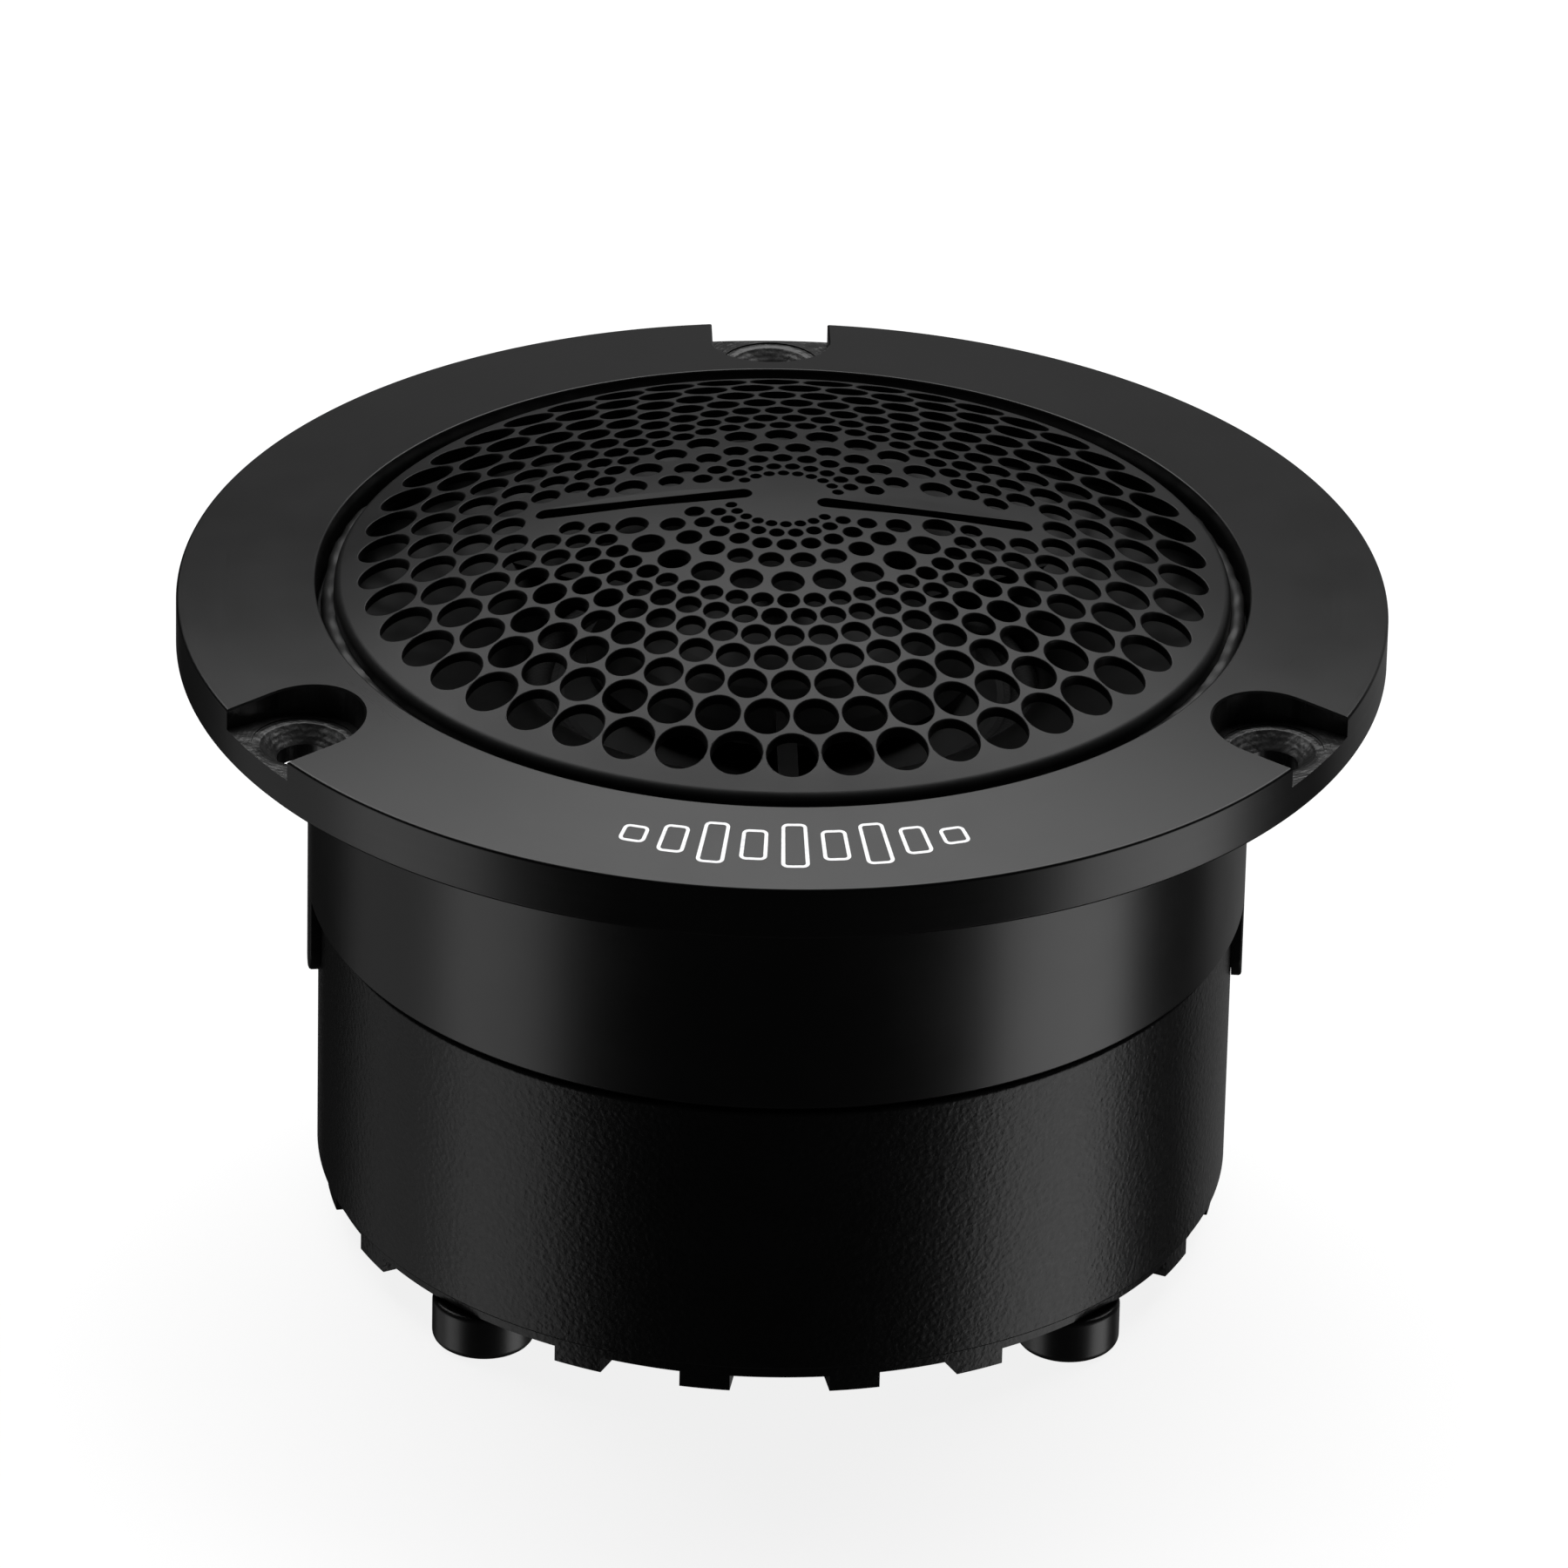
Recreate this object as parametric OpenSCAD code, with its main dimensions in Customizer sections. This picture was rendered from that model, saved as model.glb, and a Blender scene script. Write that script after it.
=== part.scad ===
// Flush-mount car tweeter: a flanged housing with a perforated domed grille, a
// moving-coil dome driver behind it, and a finned rear cover that closes the chamber.
// The origin is the centre of the flange's underside, where the tweeter seats on a
// panel. +Z points out of the grille. All sizes are in millimetres.

/* [Flange and sleeve] */
// Outer radius of the sleeve
sleeve_r = 37.9; // [34:0.1:48]
// Wall of the sleeve
sleeve_wall = 3.3; // [2.5:0.1:4]
// Length of the sleeve below the flange
sleeve_depth = 21.2; // [17:0.1:28]
// Width of the flange outside the sleeve
flange_w = 10.6; // [10:0.1:16]
// Thickness of the flange at its rim
flange_edge_t = 4.4; // [3.6:0.1:6]
// Rise of the flange face from its rim to the grille channel
face_rise = 1.3; // [0.5:0.1:2.5]
// Chamfer that breaks the sharp edges
edge_break = 0.25; // [0.1:0.05:0.5]
// Width of the two side tabs that hang over the rear cover
tab_w = 9; // [7:0.5:24]
// Length of a side tab below the sleeve
tab_drop = 7.5; // [3:0.1:9]
// Corner radius of a side tab
tab_corner_r = 2.5; // [1:0.1:3]

/* [Mounting slots] */
// Number of mounting slots
slot_count = 3; // [2:1:6]
// Width of a slot
slot_w = 9.6; // [7:0.1:10]
// Distance from the flange rim in to a screw hole's axis
slot_inset = 4.5; // [4:0.1:5]
// Depth of a slot's floor below the rim's top edge
slot_drop = 1.7; // [1:0.1:2.2]
// Radius of a mounting hole
slot_hole_r = 2.15; // [1.6:0.05:2.6]
// Radius of a mounting hole's countersink
slot_sink_r = 3.45; // [3:0.05:4]

/* [Grille] */
// Width of the sleeve's lip outside the grille channel
lip_w = 0.5; // [0.3:0.1:1.5]
// Width of the channel around the grille
channel_gap = 1.5; // [0.8:0.1:2.5]
// Depth of the channel
channel_depth = 3.5; // [2.5:0.1:4]
// Radius of the grille's spherical face
grille_dome_r = 88.5; // [70:0.5:130]
// Thickness of the grille's steel
grille_t = 0.8; // [0.5:0.1:1.2]
// Number of hole rings in the outer field
outer_rings = 7; // [3:1:8]
// Number of holes in each ring of the outer field
outer_count = 46; // [24:1:60]
// Distance from the grille's edge in to its first hole ring
outer_inset = 3.9; // [3:0.1:6]
// Ratio between the radii of neighbouring outer rings
outer_step = 1.133; // [1.1:0.001:1.2]
// Share of the pitch that a hole of the outermost ring fills
outer_fill = 0.92; // [0.6:0.01:0.92]
// How fast that share falls towards the middle, as a power of the radius
outer_taper = 0.16; // [0:0.01:0.3]
// Number of hole rings in the inner field
inner_rings = 5; // [2:1:6]
// Number of holes in each ring of the inner field
inner_count = 24; // [12:1:30]
// Ratio between the last outer ring's radius and the first inner ring's
field_step = 1.196; // [1.15:0.001:1.4]
// Ratio between the radii of neighbouring inner rings
inner_step = 1.3; // [1.2:0.001:1.4]
// Share of the pitch that a hole of the inner field fills
inner_fill = 0.77; // [0.6:0.01:0.88]
// Width of the two straight slots across the middle
slit_w = 1.5; // [0.6:0.1:1.8]
// Length of a straight slot
slit_len = 17.2; // [8:0.2:20]
// Distance from the centre to a straight slot's near end
slit_start = 2.6; // [1.5:0.1:4]

/* [Rear cover] */
// Step in from the sleeve to the rear cover
cover_inset = 0.9; // [0.5:0.1:1.5]
// Wall of the rear cover
cover_wall = 2.6; // [2:0.1:4]
// Height of the rear cover's wall
cover_h = 23.6; // [20:0.1:32]
// Thickness of the back wall
back_t = 5; // [4:0.1:7]
// Height of the step around the back
step_h = 1.1; // [0.6:0.1:2]
// Inset of the step around the back
step_inset = 0.7; // [0.4:0.1:1.5]
// Height of a cooling fin
fin_h = 1.4; // [0.8:0.1:2]
// Width of a cooling fin
fin_w = 4.05; // [2.5:0.05:5]
// Length of a cooling fin
fin_len = 12; // [6:0.5:14]
// Angle from a quadrant's middle to its first fin
fin_first = 9.5; // [8:0.1:11]
// Angle between neighbouring fins
fin_pitch = 16.8; // [14:0.1:18]
// Clear radius around each cover screw
fin_clear_r = 7; // [5:0.1:9]
// Thickness of the gasket in the seam
gasket_t = 0.8; // [0.3:0.1:1]

/* [Cover screws] */
// Radius of a cover screw's shank
screw_r = 2.5; // [2:0.05:3]
// Radius of a cover screw's head
screw_head_r = 4.15; // [3.5:0.05:5]
// Height of a cover screw's head
screw_head_h = 4; // [3:0.1:5]
// Across-flats of the hexagon socket
socket_w = 4; // [3:0.1:5]
// Depth of the hexagon socket
socket_depth = 2.2; // [1:0.1:2.5]
// Distance from the cover's surface in to a screw's axis
screw_inset = 3.8; // [3.7:0.1:5]
// Radius of the pillars that take the cover screws
pillar_r = 3.7; // [3.4:0.1:3.8]
// Length of thread in the housing
thread_len = 12; // [8:0.5:14]

/* [Driver] */
// Radius of the voice coil former's inside
coil_r = 17.4; // [15:0.1:21]
// Wall of the former
former_t = 0.15; // [0.1:0.01:0.3]
// Thickness of the winding
winding_t = 0.55; // [0.3:0.05:0.8]
// Height of the winding
winding_h = 5.6; // [4:0.1:8]
// Rise of the dome
dome_rise = 5; // [3.5:0.1:6]
// Thickness of the dome
dome_t = 0.3; // [0.2:0.05:0.6]
// Radius of the surround's roll
roll_r = 1.15; // [0.8:0.05:1.5]
// Thickness of the surround
surround_t = 0.3; // [0.2:0.05:0.4]
// Width of the surround's clamped rim
surround_rim = 2.9; // [2:0.1:3.5]
// Thickness of the diaphragm ring
ring_t = 2; // [1.5:0.1:3]
// Depth of the housing ledge below the flange
ledge_t = 4; // [3:0.1:6]
// Width of the housing ledge
ledge_w = 5.1; // [4.8:0.1:6]

/* [Motor] */
// Thickness of the front plate
plate_t = 5; // [4:0.1:7]
// Gap between the winding and the front plate
outer_gap = 0.4; // [0.3:0.05:0.7]
// Gap between the former and the copper cap
inner_gap = 0.35; // [0.3:0.05:0.6]
// Thickness of the copper cap
cap_t = 0.35; // [0.2:0.05:0.6]
// Outer radius of the ring magnet
magnet_r = 28; // [26:0.1:29]
// Inner radius of the ring magnet, outside the coil
magnet_space = 3.1; // [2:0.1:4]
// Height of the ring magnet
magnet_h = 10; // [8:0.1:12]
// Thickness of the yoke's back plate
yoke_t = 6; // [4:0.1:8]
// Radius of the vent through the pole
vent_r = 4; // [2:0.1:6]
// Radius of a motor screw's shank
motor_screw_r = 1.25; // [1:0.05:1.5]
// Radius of a motor screw's head
motor_head_r = 2.2; // [1.8:0.05:2.25]
// Height of a motor screw's head
motor_head_h = 2.5; // [1.5:0.1:3]

/* [Phase plug and waveguide] */
// Width of the annular throat around the surround
throat_w = 2.6; // [2.4:0.1:4]
// Radius of the phase plug
plug_r = 15.6; // [10:0.1:17]
// Height of the phase plug's tip above the flange's underside
plug_top = 6; // [4.5:0.1:9]
// Gap between the dome and the phase plug
plug_gap = 1.1; // [0.8:0.05:2]
// Width of a vane
vane_w = 1.6; // [1:0.1:3]
// Length of a vane beyond the plug
vane_len = 9.4; // [8:0.1:11]

/* [Terminals] */
// Radius of the terminal block's body
block_r = 11.5; // [10:0.1:13]
// Width of the terminal block's flange
block_flange_w = 4.7; // [4.5:0.1:6]
// Thickness of the terminal block's flange
block_flange_t = 1.5; // [1:0.1:2.5]
// Wall of the terminal cup
cup_wall = 2; // [1.5:0.1:3]
// Depth of the terminal cup
cup_depth = 5.8; // [4:0.1:7]
// Distance between the blades
blade_gap = 9; // [7:0.1:10]
// Width of the positive blade
blade_plus_w = 6.3; // [4:0.1:7]
// Width of the negative blade
blade_minus_w = 4.8; // [3:0.1:6]
// Thickness of a blade
blade_t = 0.8; // [0.5:0.1:1]
// Radius of an internal wire
wire_r = 0.8; // [0.5:0.05:1]

/* [Hidden] */
$fn = 96;

// Clearances and small fits
eps = 0.01;
fit = 0.1;
slip = 0.05;
over = 1;
adhesive_t = 0.3;
glue_gap = 0.02;

// Radii that follow the sleeve
opening_r = sleeve_r - lip_w;
grille_r = opening_r - channel_gap;
flange_r = sleeve_r + flange_w;
bore_r = sleeve_r - sleeve_wall;
ledge_r = bore_r - ledge_w;
plate_r = bore_r - 3 * fit;
cover_r = sleeve_r - cover_inset;
cover_bore_r = cover_r - cover_wall;
step_r = cover_r - step_inset;
slot_circle_r = flange_r - slot_inset;
pillar_circle_r = cover_r - screw_inset;
motor_screw_circle_r = bore_r - motor_head_r - 2 * fit;

// Levels along the axis
face_z = flange_edge_t + face_rise;
channel_z = face_z - channel_depth;
skirt_z = channel_z + adhesive_t;
slot_z = flange_edge_t - slot_drop;
ledge_z = -ledge_t;
plate_top_z = ledge_z - ring_t;
plate_z = plate_top_z - plate_t;
magnet_z = plate_z - magnet_h;
yoke_z = magnet_z - yoke_t;
seam_z = -sleeve_depth;
cover_top_z = seam_z - gasket_t;
cover_edge_z = cover_top_z - cover_h;
back_z = cover_edge_z - step_h;
back_in_z = back_z + back_t;

// Grille pattern
dome_slope_r = grille_dome_r - grille_t;
grille_centre_z = face_z - sqrt(pow(grille_dome_r, 2) - pow(grille_r, 2));
outer_ring_r = grille_r - outer_inset;
inner_ring_r = outer_ring_r / pow(outer_step, outer_rings - 1) / field_step;
outer_hole_share = sin(180 / outer_count) * outer_fill;
inner_hole_share = sin(180 / inner_count) * inner_fill;
slit_side = 0.75;
slit_margin = 0.35;

// Driver
former_r = coil_r + former_t;
winding_r = former_r + winding_t;
lip_r = former_r + 0.4;
surround_in_r = lip_r + glue_gap;
roll_start_r = surround_in_r + 0.45;
roll_mid_r = roll_start_r + roll_r;
roll_end_r = roll_mid_r + roll_r;
surround_out_r = roll_end_r + surround_rim;
throat_r = winding_r + throat_w;
dome_base_z = ledge_z;
dome_sphere_r = (pow(coil_r, 2) + pow(dome_rise, 2)) / (2 * dome_rise);
dome_centre_z = dome_base_z + dome_rise - dome_sphere_r;
cap_r = coil_r - inner_gap;
pole_r = cap_r - cap_t;
plate_bore_r = winding_r + outer_gap;
magnet_in_r = coil_r + magnet_space;
winding_z = (plate_top_z + plate_z - winding_h) / 2;
former_bottom_z = winding_z - 0.6;
cap_depth = plate_t + 2;
pad_r = pole_r - 3.5;
pad_t = 1.3;

// Waveguide and plug
guide_r = ledge_r - fit;
guide_flange_r = grille_r - grille_t - fit;
guide_top_z = channel_z + 1;
throat_z = ledge_z + 1;
guide_steps = 14;
vane_reach = plug_r + vane_len;
vane_z = -1.5;
vane_top_z = 1.2;
plug_edge_t = 0.9;
plug_steps = 12;

// Wires, lugs and leads
wire_angle = 22.5;
wire_circle_r = bore_r - 3.4;
wire_hole_r = wire_r + 0.4;
lug_w = 4;
lug_len = 5;
lug_t = 0.4;
lug_leg = 0.6;
lug_in_r = ledge_r;
pocket_h = 2.4;
lead_w = 0.9;
lead_t = 0.2;
groove_d = surround_t + 0.3;
lead_in_r = winding_r + 0.2;

// Rear
boss_r = pillar_r - 0.5;
boss_relief = 0.3;
terminal_flange_r = block_r + block_flange_w;
recess_z = back_z + block_flange_t;
terminal_gasket_t = 0.5;
seat_z = recess_z + terminal_gasket_t;
cup_r = block_r - cup_wall;
cup_z = back_z + cup_depth;
block_top_z = cup_z + 2.5;
blade_end_z = back_z - 1.3;
terminal_screw_r = 1;
terminal_head_r = 1.9;
terminal_head_h = 1.3;
terminal_screw_len = 5;
terminal_screw_x = block_r + block_flange_w / 2;
foam_in_r = terminal_flange_r - 1;
foam_r = pillar_circle_r - pillar_r - 1.5;
foam_top_z = min(back_in_z + 6.5, yoke_z - 2.5);
wire_run_z = (foam_top_z + yoke_z) / 2;
wire_bend_r = 3;
blade_tail_z = wire_run_z + 1;

// A ring from its inner and outer radii and its two levels
module ring(inner_r, outer_r, low_z, high_z) {
    translate([0, 0, low_z]) difference() {
        cylinder(r = outer_r, h = high_z - low_z);
        translate([0, 0, -over]) cylinder(r = inner_r, h = high_z - low_z + 2 * over);
    }
}

// A disc from its radius and its two levels
module disc(outer_r, low_z, high_z) {
    translate([0, 0, low_z]) cylinder(r = outer_r, h = high_z - low_z);
}

// Copies of the children at four angles on a circle
module on_four(circle_r, first_angle) {
    for (i = [0 : 3]) rotate(first_angle + 90 * i) translate([circle_r, 0, 0]) children();
}

// Copies of the children at each mounting slot, the first one at the back
module on_slots() {
    for (i = [0 : slot_count - 1]) rotate(90 + 360 / slot_count * i) children();
}

// One mounting slot, cut along +X from the hole out through the rim
module slot_cut() {
    translate([slot_circle_r, 0, slot_z]) {
        cylinder(r = slot_w / 2, h = face_z);
        translate([0, -slot_w / 2, 0]) cube([slot_inset + over, slot_w, face_z]);
        translate([0, 0, -slot_z - over]) cylinder(r = slot_hole_r, h = face_z);
        translate([0, 0, slot_hole_r - slot_sink_r])
            cylinder(r1 = slot_hole_r, r2 = slot_sink_r, h = slot_sink_r - slot_hole_r + eps);
    }
}

// Outline of a side tab, drawn with Y across and Z up
module tab_outline() {
    top_z = seam_z + 1;
    full = tab_drop + 1;
    translate([-tab_w / 2, top_z - full + tab_corner_r]) square([tab_w, full - tab_corner_r]);
    translate([-tab_w / 2 + tab_corner_r, top_z - full]) square([tab_w - 2 * tab_corner_r, full]);
    for (side = [-1, 1])
        translate([side * (tab_w / 2 - tab_corner_r), top_z - full + tab_corner_r])
            circle(r = tab_corner_r);
}

// Both side tabs, curved with the sleeve
module side_tabs() {
    intersection() {
        ring(cover_r + slip, sleeve_r, seam_z - tab_drop - over, seam_z + 1);
        rotate([90, 0, 90]) translate([0, 0, -sleeve_r - over])
            linear_extrude(2 * (sleeve_r + over)) tab_outline();
    }
}

// Section of the flange and sleeve
module housing_section() {
    polygon([
        [ledge_r, ledge_z],
        [bore_r, ledge_z],
        [bore_r, seam_z],
        [sleeve_r - edge_break, seam_z],
        [sleeve_r, seam_z + edge_break],
        [sleeve_r, 0],
        [flange_r, 0],
        [flange_r, flange_edge_t - edge_break],
        [flange_r - edge_break, flange_edge_t],
        [opening_r + edge_break, face_z],
        [opening_r, face_z - edge_break],
        [opening_r, channel_z],
        [ledge_r, channel_z]
    ]);
}

module front_housing() {
    color("#1c1c1e") difference() {
        union() {
            rotate_extrude() housing_section();
            side_tabs();
            intersection() {
                on_four(pillar_circle_r, 45) disc(pillar_r, seam_z, ledge_z + eps);
                disc(sleeve_r, seam_z, ledge_z + eps);
            }
        }
        on_slots() slot_cut();
        on_four(pillar_circle_r, 45)
            disc(screw_r + slip, seam_z - over, seam_z + thread_len);
        on_four(motor_screw_circle_r, 0)
            disc(motor_screw_r + slip, ledge_z - over, ledge_z + ledge_t);
        for (angle = [wire_angle, 180 - wire_angle]) rotate(angle)
            translate([ledge_r - over, -lug_w / 2 - 3 * fit, ledge_z - over])
                cube([lug_len + 6 * fit + over, lug_w + 6 * fit, pocket_h + over]);
    }
}

// True where a hole would run into one of the straight slots
function meets_slit(x, y, hole_r) =
    abs(x) > slit_start - hole_r - slit_margin
    && abs(x) < slit_start + slit_len + hole_r + slit_margin
    && abs(y + sign(x) * slit_side) < slit_w / 2 + hole_r + slit_margin;

// One field of staggered hole rings, whose holes shrink with the ring
module hole_field(first_r, step, rings, count, share, taper) {
    for (k = [0 : rings - 1], i = [0 : count - 1]) {
        ring_r = first_r / pow(step, k);
        hole_r = ring_r * share / pow(step, k * taper);
        angle = 360 / count * (i + (k % 2) / 2) + 90;
        x = ring_r * cos(angle);
        y = ring_r * sin(angle);
        if (!meets_slit(x, y, hole_r))
            translate([x, y]) circle(r = hole_r, $fn = 24);
    }
}

// Plan of the perforated face
module grille_plan() {
    difference() {
        circle(r = grille_r);
        hole_field(outer_ring_r, outer_step, outer_rings, outer_count, outer_hole_share,
            outer_taper);
        hole_field(inner_ring_r, inner_step, inner_rings, inner_count, inner_hole_share, 0);
        for (side = [0, 180]) rotate(side)
            translate([slit_start, -slit_side - slit_w / 2]) square([slit_len, slit_w]);
    }
}

module grille() {
    color("#2a2a2c") {
        intersection() {
            translate([0, 0, skirt_z]) linear_extrude(grille_dome_r) grille_plan();
            translate([0, 0, grille_centre_z]) difference() {
                sphere(r = grille_dome_r);
                sphere(r = dome_slope_r);
            }
        }
        ring(grille_r - grille_t, grille_r, skirt_z, face_z);
    }
}

module grille_adhesive() {
    color("#3a3a3a") ring(grille_r - grille_t - fit, grille_r + fit, channel_z, skirt_z);
}

// Section of the waveguide, with its flare as a quarter ellipse
module waveguide_section() {
    flare = [
        for (i = [0 : guide_steps])
            [
                guide_flange_r - (guide_flange_r - throat_r) * cos(90 * i / guide_steps),
                throat_z + (guide_top_z - throat_z) * sin(90 * i / guide_steps)
            ]
    ];
    polygon(concat(
        flare,
        [
            [guide_flange_r, channel_z],
            [guide_r, channel_z],
            [guide_r, ledge_z],
            [surround_out_r + fit, ledge_z],
            [surround_out_r + fit, ledge_z + 3 * fit],
            [throat_r, ledge_z + 3 * fit]
        ]
    ));
}

// The three vanes up to a level, grown by a clearance
module vanes(start_r, grow, high_z) {
    for (i = [0 : 2]) rotate(30 + 120 * i)
        translate([start_r, -vane_w / 2 - grow, vane_z - grow])
            cube([vane_reach - start_r + grow, vane_w + 2 * grow, high_z - vane_z + grow]);
}

module waveguide() {
    color("#202022") difference() {
        rotate_extrude() waveguide_section();
        vanes(plug_r, slip, guide_top_z);
    }
}

// Section of the phase plug: a low bullet over a face that follows the dome
module plug_section() {
    gap_r = dome_sphere_r + plug_gap;
    edge_z = dome_centre_z + sqrt(pow(gap_r, 2) - pow(plug_r, 2)) + plug_edge_t;
    under = [
        for (i = [0 : plug_steps])
            let (r = plug_r * i / plug_steps)
                [r, dome_centre_z + sqrt(pow(gap_r, 2) - pow(r, 2))]
    ];
    bullet = [
        for (i = [plug_steps : -1 : 0])
            let (r = plug_r * i / plug_steps)
                [r, edge_z + (plug_top - edge_z) * (1 - pow(i / plug_steps, 2))]
    ];
    polygon(concat(under, bullet));
}

module phase_plug() {
    color("#242426") {
        rotate_extrude() plug_section();
        vanes(plug_r - 2, 0, vane_top_z);
    }
}

module dome() {
    color("#b9bcc0") {
        intersection() {
            translate([0, 0, dome_centre_z]) difference() {
                sphere(r = dome_sphere_r);
                sphere(r = dome_sphere_r - dome_t);
            }
            disc(coil_r, dome_base_z, dome_base_z + dome_rise + over);
        }
        ring(coil_r - dome_t, lip_r, dome_base_z - dome_t, dome_base_z);
    }
}

module surround() {
    flat_z = ledge_z - surround_t;
    color("#2b2b2b") union() {
        ring(surround_in_r, roll_start_r + surround_t, flat_z, ledge_z);
        ring(roll_end_r - surround_t, surround_out_r, flat_z, ledge_z);
        rotate_extrude() translate([roll_mid_r, flat_z]) intersection() {
            difference() {
                circle(r = roll_r);
                circle(r = roll_r - surround_t);
            }
            translate([-roll_r, 0]) square([2 * roll_r, roll_r]);
        }
    }
}

module coil_former() {
    color("#b5762a") ring(coil_r, former_r, former_bottom_z, dome_base_z - dome_t);
}

module voice_coil() {
    color("#b87333") ring(former_r, winding_r, winding_z, winding_z + winding_h);
}

// A flat lead in its groove, from beside the coil to its lug
module tinsel_lead(angle) {
    rotate(angle) translate([lead_in_r, -lead_w / 2, ledge_z - groove_d])
        cube([lug_in_r - lead_in_r, lead_w, lead_t]);
}

module tinsel_lead_plus() {
    color("#c98a4b") tinsel_lead(wire_angle);
}

module tinsel_lead_minus() {
    color("#c98a4b") tinsel_lead(180 - wire_angle);
}

module diaphragm_ring() {
    color("#d8d4c8") difference() {
        ring(throat_r + 0.4, plate_r, plate_top_z, ledge_z);
        ring(0, surround_out_r + fit, ledge_z - surround_t, ledge_z + over);
        on_four(pillar_circle_r, 45) disc(pillar_r + 3 * fit, plate_top_z - over, ledge_z + over);
        on_four(motor_screw_circle_r, 0)
            disc(motor_screw_r + fit, plate_top_z - over, ledge_z + over);
        for (angle = [wire_angle, 180 - wire_angle]) rotate(angle) {
            translate([wire_circle_r, 0, 0]) disc(wire_hole_r, plate_top_z - over, ledge_z + over);
            translate([lead_in_r, -lead_w / 2 - fit, ledge_z - groove_d])
                cube([lug_in_r + 1 - lead_in_r, lead_w + 2 * fit, groove_d + over]);
        }
    }
}

// A solder lug that joins a wire to a tinsel lead
module solder_lug(angle) {
    rotate(angle) {
        translate([lug_in_r, -lug_w / 2, ledge_z]) cube([lug_len, lug_w, lug_t]);
        translate([lug_in_r, -lead_w / 2, ledge_z - groove_d])
            cube([lug_leg, lead_w, groove_d + lug_t]);
    }
}

module solder_lug_plus() {
    color("#c9c2a5") solder_lug(wire_angle);
}

module solder_lug_minus() {
    color("#c9c2a5") solder_lug(180 - wire_angle);
}

module front_plate() {
    color("#9aa0a6") difference() {
        ring(plate_bore_r, plate_r, plate_z, plate_top_z);
        on_four(pillar_circle_r, 45) disc(pillar_r + 3 * fit, plate_z - over, plate_top_z + over);
        on_four(motor_screw_circle_r, 0)
            disc(motor_screw_r + fit, plate_z - over, plate_top_z + over);
        for (angle = [wire_angle, 180 - wire_angle]) rotate(angle)
            translate([wire_circle_r, 0, 0])
                disc(wire_hole_r, plate_z - over, plate_top_z + over);
    }
}

module ring_magnet() {
    color("#c4c6ca") ring(magnet_in_r, magnet_r, magnet_z, plate_z);
}

module pole_yoke() {
    color("#8f959b") difference() {
        union() {
            disc(magnet_r, yoke_z, magnet_z);
            disc(pole_r, yoke_z, plate_top_z);
        }
        disc(vent_r, yoke_z - over, plate_top_z + over);
    }
}

module copper_cap() {
    color("#b8683a") {
        ring(pole_r + glue_gap, cap_r, plate_top_z - cap_depth, plate_top_z);
        ring(vent_r, cap_r, plate_top_z, plate_top_z + cap_t);
    }
}

module dome_damping_pad() {
    color("#4a4a4a") ring(vent_r, pad_r, plate_top_z + cap_t, plate_top_z + cap_t + pad_t);
}

module motor_screws() {
    color("#aeb2b6") on_four(motor_screw_circle_r, 0) difference() {
        union() {
            disc(motor_screw_r, plate_z, -1);
            disc(motor_head_r, plate_z - motor_head_h, plate_z);
        }
        translate([0, 0, plate_z - motor_head_h - over]) cylinder(r = 1.2, h = 1.2 + over, $fn = 6);
    }
}

module chamber_foam() {
    color("#3c3c3c") ring(foam_in_r, foam_r, back_in_z, foam_top_z);
}

module seam_gasket() {
    color("#101010") difference() {
        union() {
            ring(cover_bore_r, cover_r - 2 * edge_break, cover_top_z, seam_z);
            on_four(pillar_circle_r, 45) disc(pillar_r - 2 * edge_break, cover_top_z, seam_z);
        }
        on_four(pillar_circle_r, 45) disc(screw_r + fit, cover_top_z - over, seam_z + over);
    }
}

// Plan of the radial fins: four in each quadrant, cut back around the screws
module fin_plan() {
    difference() {
        for (quadrant = [0 : 3], side = [-1, 1], k = [0, 1])
            rotate(90 * quadrant + side * (fin_first + k * fin_pitch))
                translate([step_r - fin_len, -fin_w / 2]) square([fin_len + 2 * over, fin_w]);
        on_four(pillar_circle_r, 45) circle(r = fin_clear_r);
    }
}

// Section of the rear cover's shell
module cover_section() {
    polygon([
        [0, back_z - fin_h],
        [step_r, back_z - fin_h],
        [step_r, cover_edge_z],
        [cover_r - edge_break, cover_edge_z],
        [cover_r, cover_edge_z + edge_break],
        [cover_r, cover_top_z - 2 * edge_break],
        [cover_r - 2 * edge_break, cover_top_z],
        [cover_bore_r, cover_top_z],
        [cover_bore_r, back_in_z],
        [0, back_in_z]
    ]);
}

module rear_cover() {
    color("#19191a") difference() {
        union() {
            rotate_extrude() cover_section();
            on_four(pillar_circle_r, 45)
                disc(boss_r, back_in_z - over, cover_top_z - boss_relief);
        }
        translate([0, 0, back_z - fin_h - over]) linear_extrude(fin_h + over) difference() {
            circle(r = step_r + over);
            fin_plan();
        }
        on_four(pillar_circle_r, 45)
            disc(screw_r + fit, back_z - fin_h - over, cover_top_z + over);
        disc(block_r + fit, seat_z - over, back_in_z + over);
        disc(terminal_flange_r + fit, back_z - fin_h - over, seat_z);
        on_four(terminal_screw_x, 0)
            disc(terminal_screw_r + slip, seat_z - over, back_in_z + over);
    }
}

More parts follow.
